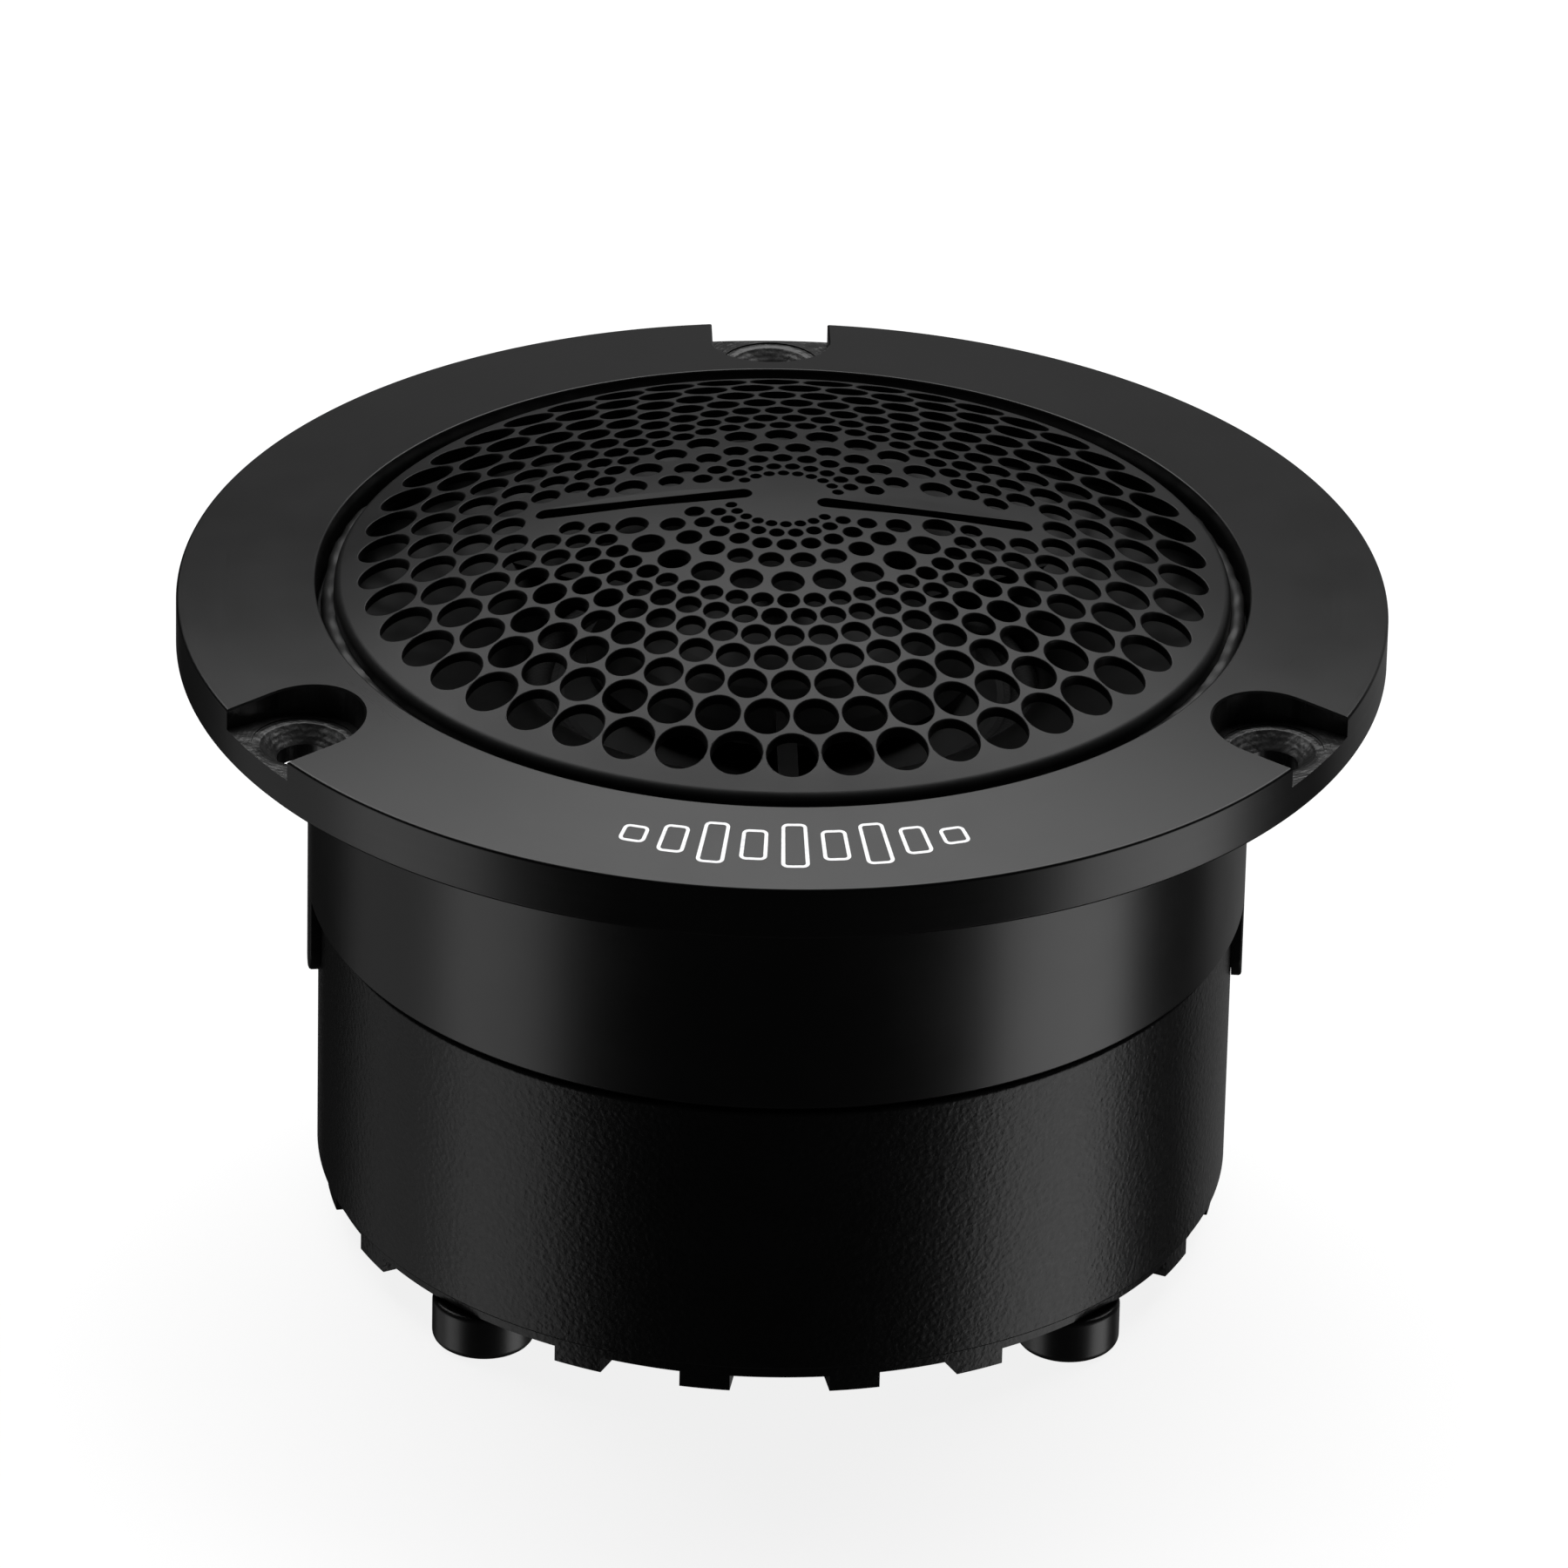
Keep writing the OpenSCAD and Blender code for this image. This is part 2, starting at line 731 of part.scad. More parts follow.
module cover_screws() {
    top_z = seam_z + thread_len - 2;
    color("#141414") on_four(pillar_circle_r, 45) difference() {
        rotate_extrude() polygon([
            [0, back_z - screw_head_h],
            [screw_head_r - edge_break, back_z - screw_head_h],
            [screw_head_r, back_z - screw_head_h + edge_break],
            [screw_head_r, back_z - edge_break],
            [screw_head_r - edge_break, back_z],
            [screw_r, back_z],
            [screw_r, top_z - edge_break],
            [screw_r - edge_break, top_z],
            [0, top_z]
        ]);
        translate([0, 0, back_z - screw_head_h - over])
            cylinder(r = socket_w / sqrt(3), h = socket_depth + over, $fn = 6);
    }
}

// A slit through the terminal block for one blade
module blade_slit(x, width) {
    translate([x - blade_t / 2 - slip / 2, -width / 2 - slip, cup_z - over])
        cube([blade_t + slip, width + 2 * slip, block_top_z - cup_z + 2 * over]);
}

// Raised polarity signs on the terminal block's flange
module polarity_signs() {
    mark_y = -(cup_r + terminal_flange_r) / 2;
    for (side = [-1, 1]) translate([side * blade_gap / 2 - 1, mark_y - 0.2, back_z - 0.3])
        cube([2, 0.4, 0.3 + eps]);
    translate([blade_gap / 2 - 0.2, mark_y - 1, back_z - 0.3]) cube([0.4, 2, 0.3 + eps]);
}

module terminal_block() {
    color("#1e1e20") {
        difference() {
            union() {
                disc(terminal_flange_r, back_z, recess_z);
                disc(block_r, back_z, block_top_z);
            }
            disc(cup_r, back_z - over, cup_z);
            blade_slit(blade_gap / 2, blade_plus_w);
            blade_slit(-blade_gap / 2, blade_minus_w);
            on_four(terminal_screw_x, 0)
                disc(terminal_screw_r + fit, back_z - over, recess_z + over);
        }
        polarity_signs();
    }
}

module terminal_gasket() {
    color("#0f0f0f") difference() {
        ring(block_r + fit, terminal_flange_r, recess_z, seat_z);
        on_four(terminal_screw_x, 0)
            disc(terminal_screw_r + fit, recess_z - over, seat_z + over);
    }
}

module terminal_screws() {
    color("#aeb2b6") on_four(terminal_screw_x, 0) difference() {
        union() {
            disc(terminal_head_r, back_z - terminal_head_h, back_z);
            disc(terminal_screw_r, back_z, back_z + terminal_screw_len);
        }
        translate([-0.2, -terminal_head_r, back_z - terminal_head_h - over])
            cube([0.4, 2 * terminal_head_r, 0.6 + over]);
    }
}

// A push-on blade with a narrow solder tail
module blade(x, width) {
    translate([x - blade_t / 2, -width / 2, blade_end_z])
        cube([blade_t, width, block_top_z - blade_end_z]);
    translate([x - blade_t / 2, -1, block_top_z]) cube([blade_t, 2, blade_tail_z - block_top_z]);
}

module terminal_plus() {
    color("#c9b26a") blade(blade_gap / 2, blade_plus_w);
}

module terminal_minus() {
    color("#c9b26a") blade(-blade_gap / 2, blade_minus_w);
}

// An internal wire: from a blade's tail across the chamber, then up to its lug
module wire(side) {
    angle = side > 0 ? wire_angle : 180 - wire_angle;
    corner = [wire_circle_r * cos(angle), wire_circle_r * sin(angle)];
    start_x = side * (blade_gap / 2 + blade_t / 2 + wire_r / 2 + slip);
    heading = atan2(corner.y, corner.x - start_x);
    run_len = norm([corner.x - start_x, corner.y]) - wire_bend_r;
    translate([start_x, 0, wire_run_z]) rotate(heading) {
        rotate([0, 90, 0]) cylinder(r = wire_r, h = run_len, $fn = 24);
        translate([run_len, 0, wire_bend_r]) rotate([-90, 0, 0])
            rotate_extrude(angle = 90) translate([wire_bend_r, 0]) circle(r = wire_r, $fn = 24);
        translate([run_len + wire_bend_r, 0, wire_bend_r])
            cylinder(r = wire_r, h = ledge_z - wire_run_z - wire_bend_r, $fn = 24);
    }
}

module wire_plus() {
    color("#a01818") wire(1);
}

module wire_minus() {
    color("#151515") wire(-1);
}

front_housing();
grille();
grille_adhesive();
waveguide();
phase_plug();
dome();
surround();
coil_former();
voice_coil();
tinsel_lead_plus();
tinsel_lead_minus();
diaphragm_ring();
solder_lug_plus();
solder_lug_minus();
front_plate();
ring_magnet();
pole_yoke();
copper_cap();
dome_damping_pad();
motor_screws();
chamber_foam();
seam_gasket();
rear_cover();
cover_screws();
terminal_block();
terminal_gasket();
terminal_screws();
terminal_plus();
terminal_minus();
wire_plus();
wire_minus();
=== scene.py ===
import math

import bmesh
import bpy
import numpy as np
from mathutils import Matrix, Vector, geometry


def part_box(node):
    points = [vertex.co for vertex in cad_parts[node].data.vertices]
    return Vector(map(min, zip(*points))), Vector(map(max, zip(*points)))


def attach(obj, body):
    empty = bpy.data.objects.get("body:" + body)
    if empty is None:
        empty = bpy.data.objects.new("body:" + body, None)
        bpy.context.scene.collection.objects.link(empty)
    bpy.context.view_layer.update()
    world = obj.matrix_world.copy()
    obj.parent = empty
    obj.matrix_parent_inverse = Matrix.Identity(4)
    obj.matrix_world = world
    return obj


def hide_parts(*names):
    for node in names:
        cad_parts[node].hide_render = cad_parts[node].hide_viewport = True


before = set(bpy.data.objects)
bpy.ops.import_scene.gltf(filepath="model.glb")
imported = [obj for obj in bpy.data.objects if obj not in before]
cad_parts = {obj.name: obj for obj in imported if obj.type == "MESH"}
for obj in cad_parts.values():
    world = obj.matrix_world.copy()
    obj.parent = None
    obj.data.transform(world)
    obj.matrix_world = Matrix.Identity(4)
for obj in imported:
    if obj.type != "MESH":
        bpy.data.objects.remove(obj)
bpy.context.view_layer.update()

MM = 0.001
HOUSING, GRILLE, COVER, SCREWS, GASKET = (
    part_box(n) for n in ("front_housing", "grille", "rear_cover", "cover_screws", "seam_gasket"))


def mm(value):
    """A length of the frame, in millimetres."""
    return round(value / MM, 2)


# ---------------------------------------------------------------- sizes, in mm
FLANGE_R = 48.5
OPENING_R = 37.4
SLEEVE_R = 37.9
GRILLE_R = 35.9
LEDGE_R = 29.5
LEDGE_Z = -4
BORE_R = 34.6
EDGE_Z = 4.4
FACE_Z = mm(HOUSING[1].z)
CHANNEL_Z = FACE_Z - 3.5
SKIRT_Z = mm(GRILLE[0].z)
SEAM_Z = mm(GASKET[1].z)
TAB_Z = mm(HOUSING[0].z)
TAB_W = 9.0
TAB_CORNER_R = 2.5
TAB_OVERLAP = 0.6
DOME_R = 88.5
SHEET = 0.8
DOME_C = FACE_Z - math.sqrt(DOME_R ** 2 - GRILLE_R ** 2)
SLOT_Z = 2.7
SLOT_R = 4.8
SLOT_CIRCLE = 44.0
SLOT_ANGLES = (90, 210, 330)
SLOT_BREAK = 0.14
SLOT_RISE = 0.9
HOLE_R, SINK_R = 2.15, 3.45
COVER_R = 37.0
COVER_BORE = 34.4
COVER_TOP = mm(GASKET[0].z)
FIN_Z = mm(COVER[0].z)
FIN_H, FIN_W, FIN_LEN = 1.4, 4.05, 12
FIN_FIRST, FIN_PITCH = 9.5, 16.8
FIN_CLEAR_R = 7
BACK_Z = FIN_Z + FIN_H
BACK_T = 5
COVER_EDGE = BACK_Z + 1.1
STEP_R = 36.3
RECESS_R, RECESS_DEPTH, CUP_R = 16.3, 2, 11.6
PILLAR_CIRCLE = 33.2
PILLAR_ANGLES = (45, 135, 225, 315)
HOUSING_PILLAR_R, THREAD_BORE_R = 3.7, 2.55
COVER_PILLAR_R, SCREW_HOLE_R = 3.2, 2.6
SCREW_R, SCREW_TIP_Z = 2.5, -10.6
HEAD_R = 4.15
HEAD_Z = mm(SCREWS[0].z)
SOCKET_W, SOCKET_DEPTH = 4, 2.2
THROAT_R, THROAT_Z = 20.7, -3.0


# ---------------------------------------------------------------- mesh tools
def on_circle(radius, degrees):
    """The point at an angle on a circle about the axis."""
    a = math.radians(degrees)
    return radius * math.cos(a), radius * math.sin(a)


def circle(radius, count):
    """Points evenly spaced round the axis."""
    turns = [2 * math.pi * k / count for k in range(count)]
    return [(radius * math.cos(a), radius * math.sin(a)) for a in turns]


def new_object(name, verts, faces, scale=MM):
    """A mesh object from vertices in millimetres."""
    me = bpy.data.meshes.new(name)
    points = [tuple(c * scale for c in v) for v in verts]
    me.from_pydata(points, [], [tuple(int(i) for i in f) for f in faces])
    me.validate()
    me.update()
    o = bpy.data.objects.new(name, me)
    bpy.context.scene.collection.objects.link(o)
    return o


def fillet(points, radii, steps=5):
    """Rounds the corners of a closed outline. radii has one radius per point."""
    out, n = [], len(points)
    for i in range(n):
        p, a, b = (np.array(points[j % n], float) for j in (i, i - 1, i + 1))
        r = radii[i] if hasattr(radii, "__len__") else radii
        u, v = a - p, b - p
        lu, lv = np.linalg.norm(u), np.linalg.norm(v)
        if r <= 0 or lu < 1e-9 or lv < 1e-9:
            out.append(tuple(p))
            continue
        u, v = u / lu, v / lv
        half = math.acos(max(-1, min(1, float(u @ v)))) / 2
        if abs(half - math.pi / 2) < 0.02:
            out.append(tuple(p))
            continue
        back = min(r / math.tan(half), lu * 0.49, lv * 0.49)
        r = back * math.tan(half)
        c = p + (u + v) / np.linalg.norm(u + v) * (r / math.sin(half))
        s, e = p + u * back - c, p + v * back - c
        a0 = math.atan2(s[1], s[0])
        turn = (math.atan2(e[1], e[0]) - a0 + math.pi) % (2 * math.pi) - math.pi
        for k in range(steps + 1):
            t = a0 + turn * k / steps
            out.append((c[0] + r * math.cos(t), c[1] + r * math.sin(t)))
    return out


def revolve(name, outline, n=288, centre=(0, 0)):
    """Turns a closed (r, z) outline about Z. An outline that touches r = 0 is closed there by one point."""
    verts, faces, rings = [], [], []
    for r, z in outline:
        if r < 1e-6:
            rings.append([len(verts)] * n)
            verts.append((centre[0], centre[1], z))
        else:
            rings.append(list(range(len(verts), len(verts) + n)))
            verts += [(centre[0] + x, centre[1] + y, z) for x, y in circle(r, n)]
    for i in range(len(outline)):
        a, b = rings[i], rings[(i + 1) % len(outline)]
        for k in range(n):
            q = [a[k], a[(k + 1) % n], b[(k + 1) % n], b[k]]
            q = [v for j, v in enumerate(q) if v != q[j - 1]]
            if len(set(q)) >= 3:
                faces.append(q)
    o = new_object(name, verts, faces)
    outward(o)
    return o


def outward(o, merge=1e-8):
    """Turns the faces outward. Vertices closer than merge become one, and none do where merge is None."""
    bm = bmesh.new()
    bm.from_mesh(o.data)
    if merge is not None:
        bmesh.ops.remove_doubles(bm, verts=bm.verts, dist=merge)
    bmesh.ops.recalc_face_normals(bm, faces=bm.faces)
    bm.to_mesh(o.data)
    bm.free()


def prism(name, outline, low, high, place=Matrix.Identity(4)):
    """Extrudes a closed (x, y) outline between two levels. A level may be a function of x and y."""
    lo = low if callable(low) else lambda x, y: low
    hi = high if callable(high) else lambda x, y: high
    n = len(outline)
    verts = [(x, y, lo(x, y)) for x, y in outline] + [(x, y, hi(x, y)) for x, y in outline]
    faces = [list(range(n))[::-1], list(range(n, 2 * n))]
    faces += [[k, (k + 1) % n, n + (k + 1) % n, n + k] for k in range(n)]
    o = new_object(name, verts, faces)
    o.data.transform(place)
    outward(o)
    return o


def join(name, objects):
    bpy.ops.object.select_all(action="DESELECT")
    for o in objects:
        o.select_set(True)
    bpy.context.view_layer.objects.active = objects[0]
    bpy.ops.object.join()
    objects[0].name = name
    return objects[0]


def boolean(o, tools, operation="DIFFERENCE"):
    for t in tools:
        m = o.modifiers.new("cut", "BOOLEAN")
        m.operation, m.object, m.solver = operation, t, "EXACT"
        bpy.context.view_layer.objects.active = o
        bpy.ops.object.modifier_apply(modifier=m.name)
    for t in tools:
        bpy.data.objects.remove(t)
    return o


def clean(o, dist=2e-6):
    bm = bmesh.new()
    bm.from_mesh(o.data)
    bmesh.ops.remove_doubles(bm, verts=bm.verts, dist=dist)
    bmesh.ops.dissolve_degenerate(bm, edges=bm.edges, dist=dist)
    loose = [v for v in bm.verts if not v.link_faces]
    bmesh.ops.delete(bm, geom=loose, context="VERTS")
    bm.to_mesh(o.data)
    bm.free()
    return o


def smooth(o, angle=32):
    """Smooth shading that keeps flat faces flat beside small rounded edges."""
    me = o.data
    me.shade_smooth()
    me.set_sharp_from_angle(angle=math.radians(angle))
    m = o.modifiers.new("weighted", "WEIGHTED_NORMAL")
    m.mode, m.weight, m.keep_sharp = "FACE_AREA", 50, True
    return o


def finish_piece(o, node, material, body="housing_body"):
    o.data.materials.clear()
    o.data.materials.append(material)
    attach(o, body)
    if node:
        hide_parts(node)


def arc(cx, cy, r, start, end, steps):
    return [(cx + r * math.cos(math.radians(start + (end - start) * k / steps)),
             cy + r * math.sin(math.radians(start + (end - start) * k / steps))) for k in range(steps + 1)]


# ---------------------------------------------------------------- material tools
class Nodes:
    """A short way to write a material's node tree."""

    def __init__(self, name):
        self.mat = bpy.data.materials.new(name)
        self.mat.use_nodes = True
        self.tree = self.mat.node_tree
        self.bsdf = self.tree.nodes["Principled BSDF"]
        self.coord = self.node("ShaderNodeTexCoord").outputs["Object"]

    def node(self, kind, **settings):
        n = self.tree.nodes.new(kind)
        for k, v in settings.items():
            setattr(n, k, v)
        return n

    def link(self, a, b):
        self.tree.links.new(a, b)

    def put(self, socket, value):
        if hasattr(value, "is_linked") or isinstance(value, bpy.types.NodeSocket):
            self.link(value, socket)
        else:
            socket.default_value = value

    def shader(self, **values):
        for k, v in values.items():
            self.put(self.bsdf.inputs[k.replace("_", " ")], v)
        return self

    def scaled(self, vector, x, y, z):
        n = self.node("ShaderNodeMapping")
        self.link(vector, n.inputs["Vector"])
        n.inputs["Scale"].default_value = (x, y, z)
        return n.outputs["Vector"]

    def noise(self, scale, detail=2.0, rough=0.5, vector=None, distortion=0.0):
        n = self.node("ShaderNodeTexNoise")
        self.link(vector or self.coord, n.inputs["Vector"])
        n.inputs["Scale"].default_value = scale
        n.inputs["Detail"].default_value = detail
        n.inputs["Roughness"].default_value = rough
        n.inputs["Distortion"].default_value = distortion
        return n.outputs["Fac"]

    def voronoi(self, scale, feature="F1", vector=None, smoothness=0.5):
        n = self.node("ShaderNodeTexVoronoi", feature=feature)
        self.link(vector or self.coord, n.inputs["Vector"])
        n.inputs["Scale"].default_value = scale
        if feature == "SMOOTH_F1":
            n.inputs["Smoothness"].default_value = smoothness
        return n.outputs["Distance"]

    def math(self, operation, a, b=0.0, clamp=False):
        n = self.node("ShaderNodeMath", operation=operation, use_clamp=clamp)
        self.put(n.inputs[0], a)
        self.put(n.inputs[1], b)
        return n.outputs[0]

    def span(self, value, a, b, c, d):
        n = self.node("ShaderNodeMapRange")
        self.link(value, n.inputs["Value"])
        for k, v in zip(("From Min", "From Max", "To Min", "To Max"), (a, b, c, d)):
            n.inputs[k].default_value = v
        return n.outputs["Result"]

    def mix(self, fac, a, b):
        n = self.node("ShaderNodeMix", data_type="RGBA")
        self.put(n.inputs["Factor"], fac)
        for s in n.inputs:
            if s.type == "RGBA":
                s.default_value = (*(a if s.name == "A" else b), 1)
        return [s for s in n.outputs if s.type == "RGBA"][0]

    def bump(self, height, distance, strength=1.0, normal=None):
        n = self.node("ShaderNodeBump")
        self.link(height, n.inputs["Height"])
        n.inputs["Distance"].default_value = distance
        n.inputs["Strength"].default_value = strength
        if normal is not None:
            self.link(normal, n.inputs["Normal"])
        return n.outputs["Normal"]

    def axes(self):
        """The three coordinates of a point, in metres."""
        s = self.node("ShaderNodeSeparateXYZ")
        self.link(self.coord, s.inputs[0])
        return tuple(s.outputs)

    def vector(self, x, y, z):
        n = self.node("ShaderNodeCombineXYZ")
        for s, v in zip(n.inputs, (x, y, z)):
            self.put(s, v)
        return n.outputs[0]


# ---------------------------------------------------------------- materials
def anodised(name="black_anodised", rough=0.30, dark=0.005):
    """Turned and anodised aluminium: fine concentric marks, faint cloudiness, black dye."""
    m = Nodes(name)
    x, y, z = m.axes()
    radius = m.math("SQRT", m.math("ADD", m.math("MULTIPLY", x, x), m.math("MULTIPLY", y, y)))
    rings = m.noise(1.0, 3, 0.6, m.vector(m.math("MULTIPLY", radius, 9000), 0.0, m.math("MULTIPLY", z, 9000)))
    cloud = m.noise(90, 4, 0.6)
    fine = m.noise(5200, 2, 0.6)
    low, high = (dark * 0.85,) * 3, (dark * 1.15, dark * 1.15, dark * 1.2)
    colour = m.mix(m.span(cloud, 0.35, 0.65, 0, 1), low, high)
    roughness = m.math("ADD", m.span(cloud, 0.3, 0.7, rough - 0.02, rough + 0.025),
                       m.span(rings, 0.3, 0.7, -0.015, 0.015))
    normal = m.bump(rings, 0.0000012, 0.35)
    normal = m.bump(fine, 0.0000016, 0.30, normal)
    m.shader(Base_Color=colour, Roughness=roughness, Normal=normal, Metallic=0.0,
             Specular_IOR_Level=0.62, IOR=1.5)
    return m.mat


def textured_cover():
    """Black powder paint with a fine leathery orange peel."""
    m = Nodes("black_texture_paint")
    cells = m.voronoi(2300, "SMOOTH_F1", smoothness=0.9)
    grain = m.noise(2100, 3, 0.55, distortion=0.3)
    small = m.noise(4200, 2, 0.5)
    height = m.math("ADD", m.math("MULTIPLY", grain, 0.75), m.math("MULTIPLY", cells, 0.5))
    normal = m.bump(height, 0.00005, 0.8)
    normal = m.bump(small, 0.00001, 0.35, normal)
    colour = m.mix(m.span(m.noise(120, 3, 0.6), 0.35, 0.65, 0, 1), (0.005,) * 3, (0.0075, 0.0075, 0.008))
    m.shader(Base_Color=colour, Roughness=m.span(grain, 0.3, 0.7, 0.34, 0.27), Normal=normal,
             Specular_IOR_Level=0.38)
    return m.mat


def grille_paint():
    """Satin black powder coat on the perforated sheet."""
    m = Nodes("grille_black_coat")
    cloud = m.noise(160, 4, 0.6)
    peel = m.noise(2600, 2, 0.5)
    colour = m.mix(m.span(cloud, 0.35, 0.65, 0, 1), (0.012,) * 3, (0.016, 0.016, 0.0165))
    m.shader(Base_Color=colour, Roughness=m.span(cloud, 0.3, 0.7, 0.40, 0.46),
             Normal=m.bump(peel, 0.000004, 0.5), Specular_IOR_Level=0.5)
    return m.mat


def moulded(name, rough, low, high, shine=0.5):
    """Moulded plastic or rubber with faint flow marks between two colours."""
    m = Nodes(name)
    flow = m.noise(60, 3, 0.6, m.scaled(m.coord, 1, 1, 3))
    fine = m.noise(3000, 2, 0.5)
    m.shader(Base_Color=m.mix(m.span(flow, 0.35, 0.65, 0, 1), low, high),
             Roughness=m.span(flow, 0.3, 0.7, rough, rough + 0.06),
             Normal=m.bump(fine, 0.000002, 0.4), Specular_IOR_Level=shine)
    return m.mat


def moulded_black(name, rough, dark, shine=0.5):
    return moulded(name, rough, (dark * 0.9,) * 3, (dark * 1.2,) * 3, shine)


def metal(name, colour, rough, brushed=False, dark=0.75):
    """Bare or plated metal with faint clouds, brushed where it says so."""
    m = Nodes(name)
    cloud = m.noise(140, 4, 0.6)
    vector = m.scaled(m.coord, 1, 1, 40) if brushed else m.coord
    lines = m.noise(1400, 2, 0.6, vector)
    low = tuple(c * dark for c in colour)
    m.shader(Base_Color=m.mix(m.span(cloud, 0.35, 0.65, 0, 1), low, colour), Metallic=1.0,
             Roughness=m.span(cloud, 0.3, 0.7, rough * 0.85, rough * 1.2),
             Normal=m.bump(lines, 0.000004, 0.4))
    return m.mat


def soft(name, colour, scale, depth, rough=0.9, sheen=0.2):
    """Felt or foam: matte, with tangled fibres."""
    m = Nodes(name)
    fibre = m.noise(scale, 4, 0.7, distortion=0.6)
    low = tuple(c * 0.6 for c in colour)
    m.shader(Base_Color=m.mix(m.span(fibre, 0.3, 0.7, 0, 1), low, colour), Roughness=rough,
             Normal=m.bump(fibre, depth, 0.8), Sheen_Weight=sheen)
    return m.mat


def cloth(name, colour):
    """Doped fabric: a fine over-and-under weave."""
    m = Nodes(name)
    wave = [m.math("SINE", m.math("MULTIPLY", axis, 12000)) for axis in m.axes()[:2]]
    weave = m.math("MULTIPLY", wave[0], wave[1])
    low = tuple(c * 0.6 for c in colour)
    m.shader(Base_Color=m.mix(m.span(weave, -1, 1, 0, 1), low, colour), Roughness=0.75,
             Normal=m.bump(weave, 0.00002, 0.6), Specular_IOR_Level=0.25)
    return m.mat


def machined_and_lit(name="slot_anodised_and_lit"):
    """Milled pocket: the cutter's rings around each hole and chatter up its walls, under black dye. Its
    colour is lighter than the flange's dye, partly the milled finish and partly painted light on the slot
    walls.
    """
    m = Nodes(name)
    x, y = m.axes()[:2]
    flat = m.vector(x, y, 0.0)
    near = None
    for a in SLOT_ANGLES:
        d = m.node("ShaderNodeVectorMath", operation="DISTANCE")
        m.link(flat, d.inputs[0])
        d.inputs[1].default_value = (*on_circle(SLOT_CIRCLE * MM, a), 0)
        near = d.outputs["Value"] if near is None else m.math("MINIMUM", near, d.outputs["Value"])
    wobble = m.noise(900, 3, 0.6)
    rings = m.math("SINE", m.math("ADD", m.math("MULTIPLY", near, 16000), m.math("MULTIPLY", wobble, 5.0)))
    chatter = m.noise(1300, 2, 0.5, m.scaled(m.coord, 1, 1, 0.03))
    cloud = m.noise(420, 3, 0.6)
    normal = m.bump(rings, 0.000006, 0.6)
    normal = m.bump(chatter, 0.00010, 0.9, normal)
    # the colour is lighter than the flange's black dye: partly the milled finish, partly painted light on the
    # slot walls and floors
    m.shader(Base_Color=m.mix(m.span(cloud, 0.3, 0.7, 0, 1), (0.010,) * 3, (0.024,) * 3),
             Roughness=m.span(cloud, 0.3, 0.7, 0.26, 0.42), Normal=normal, Specular_IOR_Level=0.8)
    return m.mat


def etched():
    """Laser-marked aluminium: bright, matte, with a fine hatch."""
    m = Nodes("etched_marks")
    hatch = m.noise(2600, 3, 0.6)
    m.shader(Base_Color=m.mix(m.span(hatch, 0.3, 0.7, 0, 1), (0.72, 0.72, 0.73), (0.95, 0.95, 0.95)),
             Roughness=0.48, Metallic=1.0, Normal=m.bump(hatch, 0.000006, 0.6))
    return m.mat


BLACK = anodised()
PAINT = textured_cover()
COAT = grille_paint()
GLOSS = moulded_black("waveguide_plastic", 0.30, 0.004, 0.22)
BLOCK_PLASTIC = moulded_black("terminal_plastic", 0.32, 0.013)
SCREW = anodised("screw_black_oxide", 0.34, 0.010)
ZINC = metal("zinc_plate", (0.62, 0.63, 0.65), 0.28, brushed=True)
NICKEL = metal("nickel_plate", (0.66, 0.65, 0.62), 0.16)
COPPER = metal("copper", (0.80, 0.36, 0.20), 0.25)
TIN = metal("tinned_brass", (0.78, 0.72, 0.52), 0.24, brushed=True)
# The dome gets a near-black colour, which keeps the holes in front of it dark.
DOME_DARK = moulded_black("dome_near_black", 0.42, 0.006, 0.2)
FELT = soft("felt", (0.10, 0.10, 0.10), 3800, 0.0002)
FOAM = soft("foam", (0.09, 0.09, 0.09), 1600, 0.0004)
RUBBER = moulded_black("gasket_rubber", 0.55, 0.012)
GLUE = moulded_black("adhesive", 0.36, 0.03)
FILM = moulded("former_film", 0.25, (0.35, 0.17, 0.05), (0.45, 0.22, 0.06))
RING_PLASTIC = moulded("ring_plastic", 0.35, (0.55, 0.53, 0.48), (0.62, 0.60, 0.54))
RED = moulded("wire_red", 0.35, (0.36, 0.015, 0.015), (0.45, 0.02, 0.02))
SURROUND = cloth("doped_cloth", (0.012, 0.012, 0.012))
ETCH = etched()
MILLED_AND_LIT = machined_and_lit()

NODE_MATERIALS = {
    "phase_plug": GLOSS, "terminal_block": BLOCK_PLASTIC, "terminal_screws": ZINC,
    "dome": DOME_DARK, "surround": SURROUND, "coil_former": FILM,
    "voice_coil": COPPER, "tinsel_lead_plus": COPPER, "tinsel_lead_minus": COPPER,
    "diaphragm_ring": RING_PLASTIC, "solder_lug_plus": TIN, "solder_lug_minus": TIN,
    "front_plate": ZINC, "ring_magnet": NICKEL, "pole_yoke": ZINC, "copper_cap": COPPER,
    "dome_damping_pad": FELT, "motor_screws": ZINC, "chamber_foam": FOAM, "seam_gasket": RUBBER,
    "terminal_gasket": RUBBER, "terminal_plus": TIN, "terminal_minus": TIN,
    "wire_plus": RED, "wire_minus": RUBBER,
}
for node_name, material in NODE_MATERIALS.items():
    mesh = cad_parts[node_name].data
    mesh.materials.clear()
    mesh.materials.append(material)


# ---------------------------------------------------------------- housing
def cone_z(x, y):
    """Level of the flange's conical face."""
    r = math.hypot(x, y)
    return EDGE_Z + (FACE_Z - EDGE_Z) * (FLANGE_R - r) / (FLANGE_R - OPENING_R)


def slot_outline(grow=0.0):
    """The plan of a slot on +X, open past the rim."""
    end = FLANGE_R + 3
    pts = arc(SLOT_CIRCLE, 0, SLOT_R + grow, 270, 90, 40)
    return [(end, -SLOT_R - grow)] + pts + [(end, SLOT_R + grow)]


